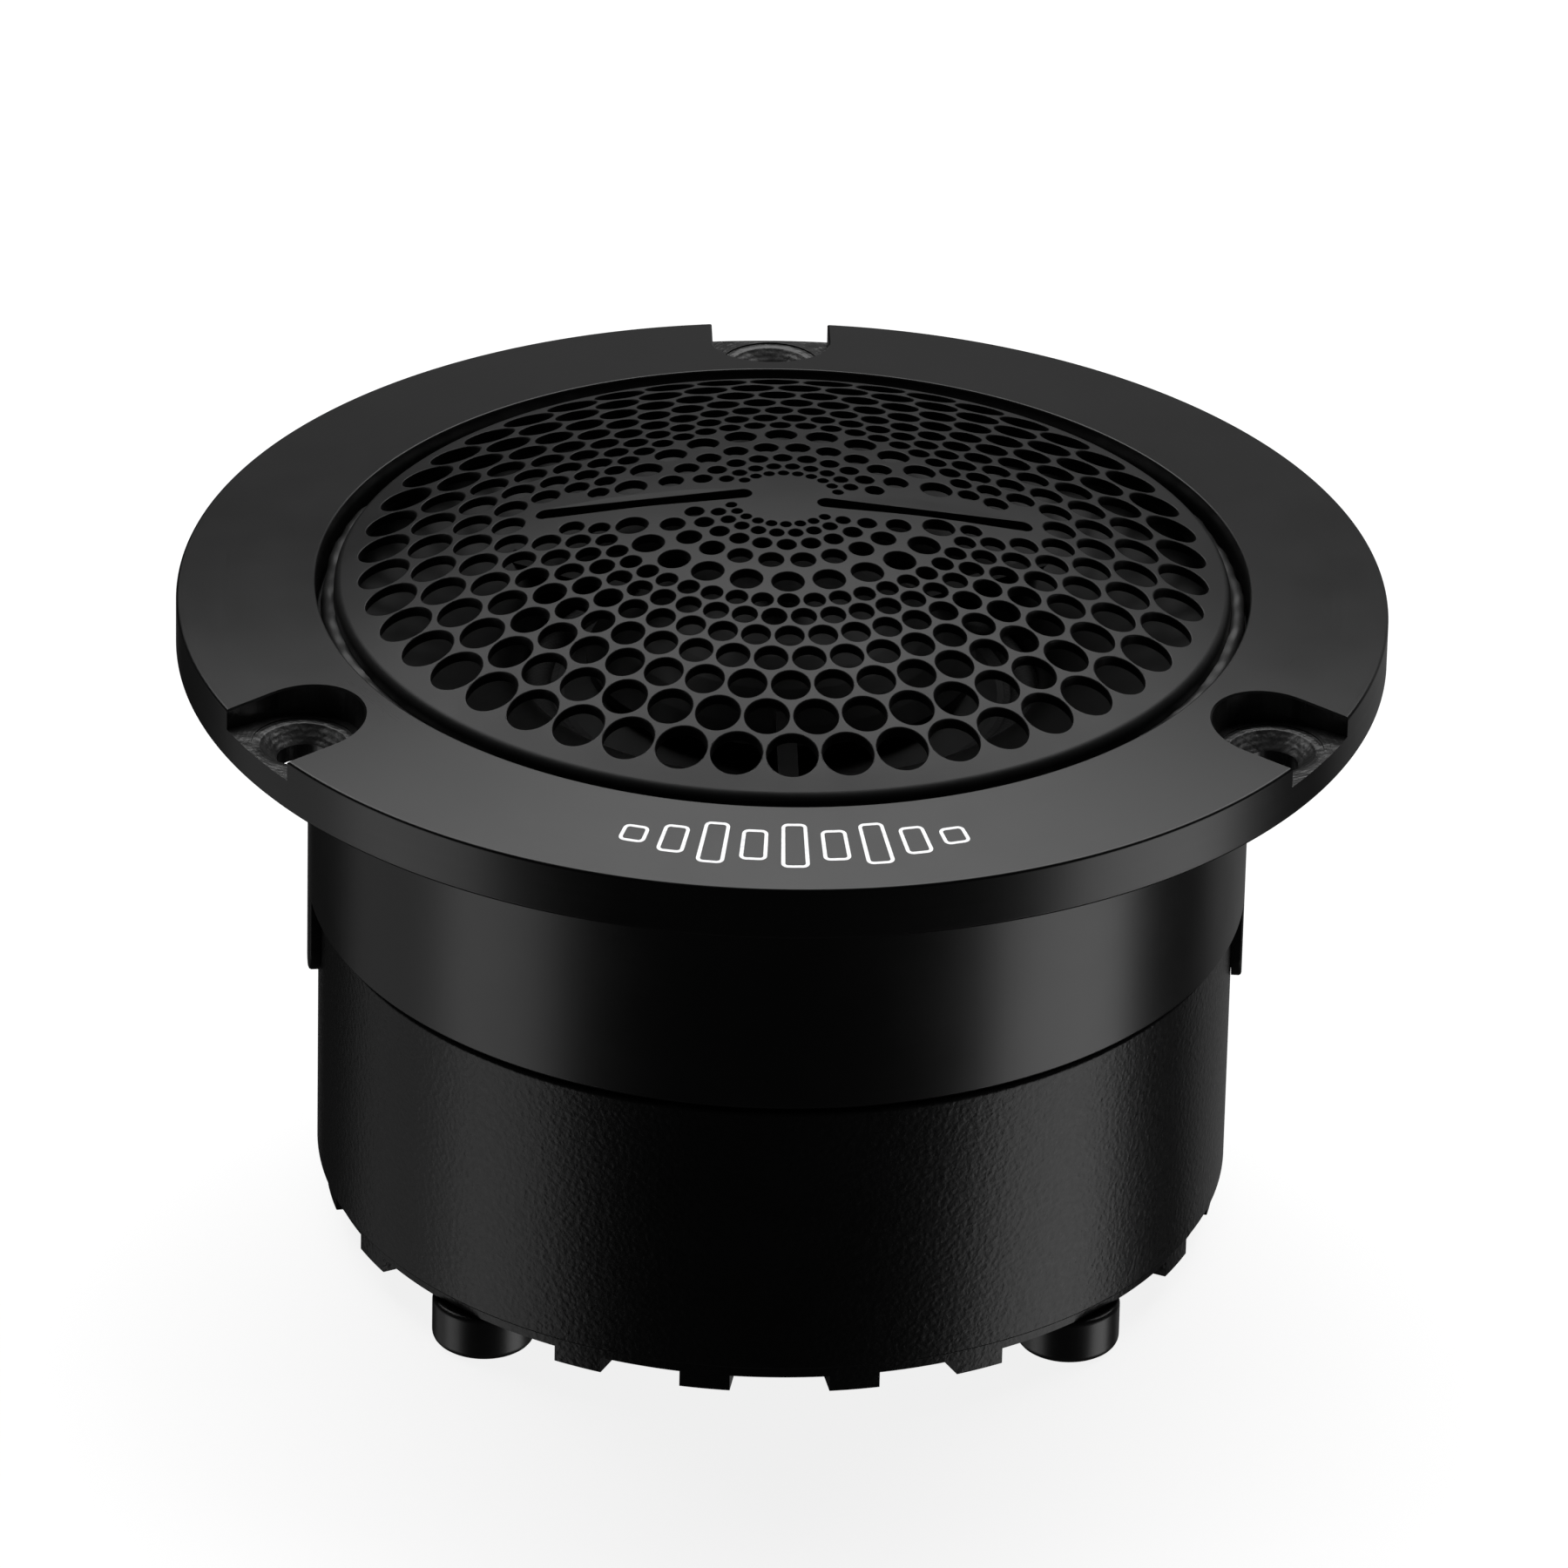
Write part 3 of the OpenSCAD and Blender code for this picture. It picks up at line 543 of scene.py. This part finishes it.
def slot_cutter(angle):
    """A milled slot that is open to the rim, with its top edge broken along the cone."""
    inner, wide = slot_outline(), slot_outline(SLOT_RISE)
    n = len(inner)
    verts = [(x, y, SLOT_Z) for x, y in inner]
    verts += [(x, y, cone_z(x, y) - SLOT_BREAK) for x, y in inner]
    verts += [(x, y, cone_z(x, y) + SLOT_RISE - SLOT_BREAK) for x, y in wide]
    faces = [list(range(n))[::-1], list(range(2 * n, 3 * n))]
    for ring in (0, n):
        faces += [[ring + k, ring + (k + 1) % n, ring + n + (k + 1) % n, ring + n + k] for k in range(n)]
    o = new_object("slot_cutter", verts, faces)
    o.data.transform(Matrix.Rotation(math.radians(angle), 4, "Z"))
    outward(o)
    return o


def hole_cutter(angle):
    """Through hole, countersink and the ring the cutter left around it."""
    outline = [(0, -2), (HOLE_R, -2), (HOLE_R, SLOT_Z - 1.35), (SINK_R, SLOT_Z - 0.22),
               (SINK_R + 0.12, SLOT_Z - 0.14), (SINK_R + 0.7, SLOT_Z - 0.12),
               (SINK_R + 0.76, SLOT_Z + 0.4), (0, SLOT_Z + 0.4)]
    return revolve("hole_cutter", outline, 96, on_circle(SLOT_CIRCLE, angle))


def make_tab(turn):
    """A side tab wrapped round the sleeve, with its outer edge broken in two steps."""
    half = TAB_W / 2
    corners = [(-half, SEAM_Z + TAB_OVERLAP), (-half, TAB_Z), (half, TAB_Z), (half, SEAM_Z + TAB_OVERLAP)]
    flat = fillet(corners, [0, TAB_CORNER_R, TAB_CORNER_R, 0], 10)
    n, columns = len(flat), 12
    levels = ((0.0, COVER_R + 0.05), (0.0, SLEEVE_R - 0.22), (0.07, SLEEVE_R - 0.07), (0.22, SLEEVE_R))

    def wrap(x, inset, depth):
        a = x * ((half - inset) / half) / SLEEVE_R
        return math.sin(a) * depth, math.cos(a) * depth

    verts = [(*wrap(x, inset, depth), z + (inset if z <= TAB_Z + TAB_CORNER_R else 0))
             for inset, depth in levels for x, z in flat]
    faces = [[level * n + k, level * n + (k + 1) % n, (level + 1) * n + (k + 1) % n, (level + 1) * n + k]
             for k in range(n) for level in range(len(levels) - 1)]
    # the back and the front are strips across the tab, so that they follow the sleeve
    left, right = list(range(n // 2)), list(range(n - 1, n // 2 - 1, -1))
    for base, (inset, depth) in ((0, levels[0]), ((len(levels) - 1) * n, levels[-1])):
        for k in range(len(left) - 1):
            rows = []
            for i, j in ((left[k], right[k]), (left[k + 1], right[k + 1])):
                row = [base + i]
                for c in range(1, columns):
                    x = flat[i][0] + (flat[j][0] - flat[i][0]) * c / columns
                    z = verts[base + i][2] + (verts[base + j][2] - verts[base + i][2]) * c / columns
                    row.append(len(verts))
                    verts.append((*wrap(x, inset, depth), z))
                rows.append([*row, base + j])
            faces += [[rows[0][c], rows[0][c + 1], rows[1][c + 1], rows[1][c]] for c in range(columns)]
    o = new_object("tab", verts, faces)
    o.data.transform(Matrix.Rotation(math.radians(turn), 4, "Z"))
    outward(o, 1e-7)
    return o


def make_pillar(angle, bore, outer, low, high):
    """A hollow pillar round a cover screw, with its edges broken."""
    outline = fillet([(bore, low), (outer, low), (outer, high), (bore, high)], 0.1, 2)
    return revolve("pillar", outline, 48, on_circle(PILLAR_CIRCLE, angle))


def mark_milled_faces(o):
    """Gives the floors and walls of the slots the second material."""
    turns = [Matrix.Rotation(-math.radians(a), 3, "Z") for a in SLOT_ANGLES]
    for face in o.data.polygons:
        c = face.center / MM
        if c.z < -0.01 or math.hypot(c.x, c.y) > FLANGE_R - 0.12 or c.z > cone_z(c.x, c.y) - 0.16:
            continue
        if any((t @ c).x > SLOT_CIRCLE - SLOT_R - 0.05 and abs((t @ c).y) < SLOT_R + 0.05 for t in turns):
            face.material_index = 1


def make_housing():
    outline = [(LEDGE_R, LEDGE_Z), (BORE_R, LEDGE_Z), (BORE_R, SEAM_Z), (SLEEVE_R, SEAM_Z), (SLEEVE_R, 0),
               (FLANGE_R, 0), (FLANGE_R, EDGE_Z), (OPENING_R, FACE_Z), (OPENING_R, CHANNEL_Z),
               (LEDGE_R, CHANNEL_Z)]
    radii = [0.1, 0.2, 0.15, 0.22, 0.35, 0.3, 0.26, 0.16, 0.25, 0.1]
    o = revolve("housing_shell", fillet(outline, radii, 5), 360)
    boolean(o, [slot_cutter(a) for a in SLOT_ANGLES])
    boolean(o, [hole_cutter(a) for a in SLOT_ANGLES])
    tabs = [make_tab(turn) for turn in (90, 270)]
    pillars = [make_pillar(a, THREAD_BORE_R, HOUSING_PILLAR_R, SEAM_Z + 0.05, LEDGE_Z) for a in PILLAR_ANGLES]
    clean(o)
    o = join("housing_shell", [o, *tabs, *pillars])
    smooth(o)
    finish_piece(o, "front_housing", BLACK)
    o.data.materials.append(MILLED_AND_LIT)
    mark_milled_faces(o)


# ---------------------------------------------------------------- grille
FIRST_RING, OUTER_STEP, OUTER_RINGS, FIELD_STEP = GRILLE_R - 3.9, 1.133, 7, 1.196
OUTER = dict(first=FIRST_RING, step=OUTER_STEP, rings=OUTER_RINGS, count=46,
             share=math.sin(math.pi / 46) * 0.92, taper=0.16)
INNER = dict(first=FIRST_RING / OUTER_STEP ** (OUTER_RINGS - 1) / FIELD_STEP, step=1.3, rings=5, count=24,
             share=math.sin(math.pi / 24) * 0.77, taper=0.0)
SLIT_W, SLIT_LEN, SLIT_START, SLIT_SIDE, SLIT_MARGIN = 1.5, 17.2, 2.6, 0.75, 0.35
PLATE_R = GRILLE_R - 1.5
RIM_COUNT = 360
# a hole's rim: its drop and its reach as shares of the rim's width, and how far its normal leans
HOLE_RIM = ((0, 1, 0), (0.08, 0.62, 28), (0.38, 0.14, 62), (1, 0, 90))


def slit_place(x, y):
    """A point as a distance along the two straight slots and a distance off their middle lines."""
    return x, y + math.copysign(SLIT_SIDE, x)


def grille_holes():
    """(x, y, radius) of each hole, on the same rings as the grille of the frame."""
    holes = []
    for f in (OUTER, INNER):
        for k in range(f["rings"]):
            ring = f["first"] / f["step"] ** k
            r = ring * f["share"] / f["step"] ** (k * f["taper"])
            for i in range(f["count"]):
                a = math.radians(360 / f["count"] * (i + (k % 2) / 2) + 90)
                x, y = ring * math.cos(a), ring * math.sin(a)
                along, across = slit_place(x, y)
                if (SLIT_START - r - SLIT_MARGIN < abs(along) < SLIT_START + SLIT_LEN + r + SLIT_MARGIN
                        and abs(across) < SLIT_W / 2 + r + SLIT_MARGIN):
                    continue
                holes.append((x, y, r))
    return holes


def rim_width(r):
    return min(0.13, r * 0.2)


def hole_loops(holes):
    """The edge of each hole and slot: centre, direction, radius and rim width of each point."""
    loops = []
    for x, y, r in holes:
        n = 40 if r > 1.4 else 28 if r > 0.7 else 20
        loops.append([(x, y, dx, dy, r, rim_width(r)) for dx, dy in circle(1, n)])
    near, far = SLIT_START + SLIT_W / 2, SLIT_START + SLIT_LEN - SLIT_W / 2
    for side in (1, -1):
        loop = []
        for cx, start in ((far, -90), (near, 90)):
            for k in range(13):
                a = math.radians(start + 180 * k / 12)
                dx, dy = side * math.cos(a), side * math.sin(a)
                loop.append((side * cx, -side * SLIT_SIDE, dx, dy, SLIT_W / 2, 0.08))
        loops.append(loop)
    return loops


def plain_points(holes):
    """A few free points, which keep the triangles of the plain areas small."""
    discs = np.array([(x, y, r + 0.25) for x, y, r in holes])
    points = []
    for ring in np.arange(0.9, PLATE_R - 0.4, 0.9):
        for x, y in circle(ring, max(6, int(2 * math.pi * ring / 0.9))):
            if np.min(np.hypot(discs[:, 0] - x, discs[:, 1] - y) - discs[:, 2]) < 0:
                continue
            along, across = slit_place(x, y)
            off_middle = abs(abs(along) - SLIT_START - SLIT_LEN / 2)
            if off_middle < SLIT_LEN / 2 + 0.4 and abs(across) < SLIT_W / 2 + 0.3:
                continue
            points.append((x, y))
    return points


def sheet_triangles(flat, triangles, holes):
    """The triangles that are outside every hole and slot and inside the plate's rim."""
    discs = np.array([(x, y, r + rim_width(r)) for x, y, r in holes])
    keep = []
    for t in triangles:
        cx, cy = sum(flat[i][0] for i in t) / 3, sum(flat[i][1] for i in t) / 3
        gaps = np.hypot(discs[:, 0] - cx, discs[:, 1] - cy)
        if math.hypot(cx, cy) > PLATE_R or np.any(gaps < discs[:, 2] * 0.985):
            continue
        along, across = slit_place(cx, cy)
        beyond = max(0.0, abs(abs(along) - SLIT_START - SLIT_LEN / 2) - (SLIT_LEN - SLIT_W) / 2)
        if math.hypot(beyond, across) < SLIT_W / 2 + 0.07:
            continue
        keep.append(t)
    return keep


def edge_profile():
    """The rolled edge and the skirt, from the plate's rim round to its underside: r, z and normal."""
    slope, roll = math.asin(PLATE_R / DOME_R), 1.0
    middle = FACE_Z - 0.55
    inside = GRILLE_R - SHEET
    profile = []
    for k in range(9):
        a = slope + (math.pi / 2 - slope) * k / 8
        profile.append((GRILLE_R - roll + roll * math.sin(a), middle - 0.22 + roll * math.cos(a),
                        math.sin(a), math.cos(a)))
    return profile + [
        (GRILLE_R, SKIRT_Z + 0.15, 1, 0), (GRILLE_R - 0.15, SKIRT_Z, 0, -1),
        (inside + 0.15, SKIRT_Z, 0, -1), (inside, SKIRT_Z + 0.15, -1, 0),
        (inside, middle - 0.5, -1, 0), (inside - 0.12, middle - 0.1, -0.7, -0.7)]


def sheet_point(x, y, drop):
    """A point of the sheet, a distance below its outer face."""
    return x, y, DOME_C + math.sqrt((DOME_R - drop) ** 2 - (x * x + y * y))


def sheet_normal(x, y, sign=1.0):
    return Vector((x, y, math.sqrt(DOME_R ** 2 - x * x - y * y))).normalized() * sign


def make_grille():
    """One perforated sheet: rounded hole rims, a rolled edge and a skirt."""
    holes = grille_holes()
    loops = hole_loops(holes)
    points, edges, starts = [], [], []
    outlines = [[(cx + dx * (r + e), cy + dy * (r + e)) for cx, cy, dx, dy, r, e in loop] for loop in loops]
    for outline in [*outlines, circle(PLATE_R, RIM_COUNT)]:
        base = len(points)
        points += outline
        edges += [(base + k, base + (k + 1) % len(outline)) for k in range(len(outline))]
        starts.append(base)
    points += plain_points(holes)
    mesh = geometry.delaunay_2d_cdt([Vector(p) for p in points], edges, [], 0, 1e-7)
    flat, triangles, sources = mesh[0], mesh[2], mesh[3]
    where = {source: i for i, group in enumerate(sources) for source in group}
    verts, normals, faces = [], [], []

    def add(point, normal):
        verts.append(point)
        normals.append(normal)
        return len(verts) - 1

    def bridge(rows):
        """Faces between neighbouring closed rows."""
        for a, b in zip(rows, rows[1:]):
            faces.extend([a[k], b[k], b[(k + 1) % len(a)], a[(k + 1) % len(a)]] for k in range(len(a)))

    top = [add(sheet_point(x, y, 0), sheet_normal(x, y)) for x, y in flat]
    under = [add(sheet_point(x, y, SHEET), sheet_normal(x, y, -1)) for x, y in flat]
    for t in sheet_triangles(flat, triangles, holes):
        faces += [[top[i] for i in t], [under[i] for i in t][::-1]]
    # hole walls: a rounded rim above and below a straight wall
    for base, loop in zip(starts, loops):
        rows = [[top[where[base + k]] for k in range(len(loop))]]
        levels = [(0, *rim) for rim in HOLE_RIM[1:]]
        levels += [(SHEET, -drop, reach, 180 - lean) for drop, reach, lean in HOLE_RIM[:0:-1]]
        for level, drop, reach, lean in levels:
            lean = math.radians(lean)
            row = []
            for cx, cy, dx, dy, r, e in loop:
                x, y = cx + dx * (r + e * reach), cy + dy * (r + e * reach)
                normal = sheet_normal(x, y) * math.cos(lean) + Vector((-dx, -dy, 0)) * math.sin(lean)
                row.append(add(sheet_point(x, y, level + drop * e), normal.normalized()))
            rows.append(row)
        bridge([*rows, [under[where[base + k]] for k in range(len(loop))]])
    rows = [[top[where[starts[-1] + k]] for k in range(RIM_COUNT)]]
    for r, z, nr, nz in edge_profile():
        rows.append([add((r * dx, r * dy, z), Vector((nr * dx, nr * dy, nz)))
                     for dx, dy in circle(1, RIM_COUNT)])
    bridge([*rows, [under[where[starts[-1] + k]] for k in range(RIM_COUNT)]])
    o = new_object("grille_sheet", verts, faces)
    outward(o, None)
    o.data.shade_smooth()
    o.data.normals_split_custom_set_from_vertices([tuple(v) for v in normals])
    finish_piece(o, "grille", COAT)


def make_bead():
    """The adhesive in the channel: level under the sheet's skirt, uneven where it was pressed out."""
    n = 720
    low, top = CHANNEL_Z + 0.02, FACE_Z - 1.35
    profile = [(35.02, low, 0), (36.9, low, 0.2), (37.0, low + 0.9, 0.7), (36.86, top - 0.35, 1),
               (36.62, top - 0.1, 1), (36.3, top, 1), (36.05, top + 0.02, 0.7), (35.93, top - 0.02, 0.1),
               (35.93, SKIRT_Z - 0.02, 0), (35.02, SKIRT_Z - 0.02, 0)]
    verts, faces = [], []
    for k in range(n):
        a = 2 * math.pi * k / n
        waves = ((0.09, 5, 1), (0.07, 13, 2.1), (0.05, 37, 0), (0.03, 83, 0.7))
        lump = sum(size * math.sin(count * a + phase) for size, count, phase in waves)
        for r, z, share in profile:
            reach = r + lump * share * 0.8
            verts.append((reach * math.cos(a), reach * math.sin(a), z + lump * share))
    m = len(profile)
    for k in range(n):
        for j in range(m):
            faces.append([k * m + j, (k + 1) % n * m + j, (k + 1) % n * m + (j + 1) % m, k * m + (j + 1) % m])
    o = new_object("adhesive_bead", verts, faces)
    outward(o)
    smooth(o, 50)
    finish_piece(o, "grille_adhesive", GLUE)


# ---------------------------------------------------------------- rear cover and screws
def fin_valleys():
    """Everything between the fins, as one solid to cut away."""
    angles = sorted(90 * q + side * (FIN_FIRST + FIN_PITCH * k)
                    for q in range(4) for side in (-1, 1) for k in (0, 1))
    cutter = prism("valley", arc(0, 0, STEP_R + 1, 0, 360, 360)[:-1], FIN_Z - 1, BACK_Z)
    inner, outer, half = STEP_R - FIN_LEN, STEP_R + 3, FIN_W / 2
    plan = fillet([(inner, -half), (outer, -half), (outer, half), (inner, half)], [0.5, 0, 0, 0.5], 4)
    turns = [Matrix.Rotation(math.radians(a), 4, "Z") for a in angles]
    return boolean(cutter, [prism("bar", plan, FIN_Z - 2, BACK_Z + 0.5, turn) for turn in turns])


def make_cover():
    back_in = BACK_Z + BACK_T
    outline = [(0, FIN_Z), (STEP_R, FIN_Z), (STEP_R, COVER_EDGE), (COVER_R, COVER_EDGE), (COVER_R, COVER_TOP),
               (COVER_BORE, COVER_TOP), (COVER_BORE, back_in), (0, back_in)]
    radii = [0, 0.1, 0.1, 0.22, 0.42, 0.1, 0.5, 0]
    o = revolve("cover_shell", fillet(outline, radii, 5), 360)
    cuts = [fin_valleys()]
    low, high = FIN_Z - 1, back_in + 1
    for a in PILLAR_ANGLES:
        for name, r, end, n in (("clear", FIN_CLEAR_R, BACK_Z, 96), ("bore", SCREW_HOLE_R, high, 48)):
            outline = [(0, low), (r, low), (r, end), (0, end)]
            cuts.append(revolve(name, outline, n, on_circle(PILLAR_CIRCLE, a)))
    recess_z = BACK_Z + RECESS_DEPTH
    cuts.append(revolve("recess", [(0, low), (RECESS_R, low), (RECESS_R, recess_z), (CUP_R, recess_z),
                                   (CUP_R, high), (0, high)], 144))
    boolean(o, cuts)
    clean(o)
    pillars = [make_pillar(a, SCREW_HOLE_R, COVER_PILLAR_R, back_in - 0.5, COVER_TOP) for a in PILLAR_ANGLES]
    o = join("cover_shell", [o, *pillars])
    smooth(o)
    finish_piece(o, "rear_cover", PAINT)


def make_cover_screws():
    made = []
    corner = SOCKET_W / math.sqrt(3)
    outline = [(0, HEAD_Z), (HEAD_R, HEAD_Z), (HEAD_R, BACK_Z), (SCREW_R, BACK_Z), (SCREW_R, SCREW_TIP_Z),
               (0, SCREW_TIP_Z)]
    for a in PILLAR_ANGLES:
        c = on_circle(PILLAR_CIRCLE, a)
        o = revolve("screw", fillet(outline, [0, 0.8, 0.45, 0, 0.3, 0], 6), 96, c)
        hexagon = [(c[0] + x, c[1] + y) for x, y in (on_circle(corner, 60 * k) for k in range(6))]
        boolean(o, [prism("hex", hexagon, HEAD_Z - 1, HEAD_Z + SOCKET_DEPTH)])
        made.append(clean(o))
    o = join("cover_screw_set", made)
    smooth(o)
    finish_piece(o, "cover_screws", SCREW)


# ---------------------------------------------------------------- parts behind the grille
def make_waveguide():
    """The flare round the dome, with a pocket for each vane of the phase plug."""
    wide, foot, rise = 35.0, 23.4, CHANNEL_Z + 1 - THROAT_Z
    flare = [(wide - (wide - THROAT_R) * math.cos(math.pi / 2 * k / 24),
              THROAT_Z + rise * math.sin(math.pi / 2 * k / 24)) for k in range(25)]
    lip_z = THROAT_Z - 0.7
    outline = flare + [(wide, CHANNEL_Z), (LEDGE_R - 0.1, CHANNEL_Z), (LEDGE_R - 0.1, LEDGE_Z),
                       (foot, LEDGE_Z), (foot, lip_z), (THROAT_R, lip_z)]
    o = revolve("waveguide_horn", outline, 240)
    plan = [(15.6, -0.85), (25.05, -0.85), (25.05, 0.85), (15.6, 0.85)]
    boolean(o, [prism("pocket", plan, -1.55, 4, Matrix.Rotation(math.radians(30 + 120 * k), 4, "Z"))
                for k in range(3)])
    clean(o)
    smooth(o)
    finish_piece(o, "waveguide", GLOSS)


def make_engraving():
    """A plain row of level bars, each drawn as an outline on the cone."""
    heights = [2.2, 3.6, 5.4, 4.0, 5.8, 4.0, 5.4, 3.6, 2.2]
    pitch, width, line = 3.15, 2.1, 0.30
    middle = (FLANGE_R + OPENING_R) / 2 - 0.3
    pieces = []
    for i, h in enumerate(heights):
        a0 = (i - (len(heights) - 1) / 2) * pitch / middle
        loops = []
        for inset in (0.0, line):
            x, y = width / 2 - inset, h / 2 - inset
            loops.append(fillet([(-x, -y), (x, -y), (x, y), (-x, y)], 0.55 - inset, 6))
        verts, faces = [], []
        n = len(loops[0])
        for lift in (0.012, -0.03):
            for loop in loops:
                for x, y in loop:
                    r, a = middle + y, a0 + x / middle
                    px, py = r * math.sin(a), -r * math.cos(a)
                    verts.append((px, py, cone_z(px, py) + lift))
        for k in range(n):
            j = (k + 1) % n
            faces += [[k, j, n + j, n + k], [2 * n + k, 3 * n + k, 3 * n + j, 2 * n + j],
                      [k, 2 * n + k, 2 * n + j, j], [n + k, n + j, 3 * n + j, 3 * n + k]]
        o = new_object("mark", verts, faces)
        outward(o)
        pieces.append(o)
    o = join("etched_level_marks", pieces)
    finish_piece(o, None, ETCH)


make_housing()
make_grille()
make_bead()
make_cover()
make_cover_screws()
make_waveguide()
make_engraving()


# ---------------------------------------------------------------- floor, light and camera
def softbox(name, azimuth, elevation, width, height, radiance, distance=1.0):
    """A soft panel that faces the object. Azimuth 0 is the front, 90 is +X."""
    a, e = math.radians(azimuth), math.radians(elevation)
    data = bpy.data.lights.new(name, "AREA")
    data.shape, data.size, data.size_y = "RECTANGLE", width, height
    data.energy = radiance * math.pi * width * height
    o = bpy.data.objects.new(name, data)
    bpy.context.scene.collection.objects.link(o)
    aim = Vector((0, 0, -0.015))
    way = Vector((math.cos(e) * math.sin(a), -math.cos(e) * math.cos(a), math.sin(e)))
    o.location = aim + way * distance
    o.rotation_mode = "QUATERNION"
    o.rotation_quaternion = (-way).to_track_quat("-Z", "Y")
    o.visible_camera = False


def make_floor():
    """A pale floor that is seen by the camera only, from above."""
    bm = bmesh.new()
    bmesh.ops.create_grid(bm, x_segments=2, y_segments=2, size=6)
    me = bpy.data.meshes.new("floor")
    bm.to_mesh(me)
    bm.free()
    floor = bpy.data.objects.new("floor", me)
    floor.location.z = HEAD_Z * MM
    bpy.context.scene.collection.objects.link(floor)
    m = Nodes("pale_floor")
    m.shader(Base_Color=(0.45, 0.45, 0.45, 1), Roughness=0.9, Specular_IOR_Level=0.0,
             Emission_Color=(1, 1, 1, 1), Emission_Strength=0.86)
    both = m.node("ShaderNodeMixShader")
    m.link(m.node("ShaderNodeNewGeometry").outputs["Backfacing"], both.inputs[0])
    m.link(m.bsdf.outputs[0], both.inputs[1])
    m.link(m.node("ShaderNodeBsdfTransparent").outputs[0], both.inputs[2])
    m.link(both.outputs[0], m.tree.nodes["Material Output"].inputs["Surface"])
    me.materials.append(m.mat)
    floor.visible_glossy = False
    floor.visible_diffuse = False
    floor.visible_shadow = False


def make_world():
    world = bpy.data.worlds.new("studio")
    bpy.context.scene.world = world
    world.use_nodes = True
    background = world.node_tree.nodes["Background"]
    background.inputs["Color"].default_value = (1, 1, 1, 1)
    background.inputs["Strength"].default_value = 0.012


def make_camera():
    """The camera, at the place that the grille's rings and the flange's outline call for."""
    elevation, turn, roll = math.radians(27.87), math.radians(1.87), math.radians(-1.28)
    distance, pan, tilt = 23.52 * FLANGE_R * MM, 0.0004, -0.0132
    pivot = Vector((0, 0, EDGE_Z * MM))
    out = Vector((-math.sin(turn) * math.cos(elevation), -math.cos(turn) * math.cos(elevation),
                  math.sin(elevation)))
    side = Vector((math.cos(turn), -math.sin(turn), 0))
    upward = side.cross(-out).normalized()
    forward = (-out + side * pan + upward * tilt).normalized()
    right = forward.cross(upward).normalized()
    upright = right.cross(forward)
    rolled_right = right * math.cos(roll) - upright * math.sin(roll)
    rolled_up = upright * math.cos(roll) + right * math.sin(roll)
    data = bpy.data.cameras.new("camera")
    data.lens, data.sensor_width, data.sensor_fit = 327.28, 36, "AUTO"
    data.clip_start, data.clip_end = 0.05, 20
    camera = bpy.data.objects.new("camera", data)
    bpy.context.scene.collection.objects.link(camera)
    rotation = Matrix((rolled_right, rolled_up, -forward)).transposed()
    camera.matrix_world = Matrix.Translation(pivot + out * distance) @ rotation.to_4x4()
    bpy.context.scene.camera = camera


make_floor()
make_world()
make_camera()
# name, azimuth, elevation, width, height and radiance of each light
for light in (("back_top", 180, 60, 1.55, 0.75, 2.15), ("back_wall", 160, -5, 1.2, 1.2, 0.17),
              ("left_low", -72, -26, 0.5, 0.75, 0.85), ("left_side", -105, -26, 0.7, 0.75, 0.22),
              ("right_low", 73, -26, 0.61, 0.75, 1.5), ("top_right", 150, 70, 0.4, 0.3, 1.0)):
    softbox(*light)

bpy.context.scene.view_settings.view_transform = "Standard"
bpy.context.scene.view_settings.look = "None"
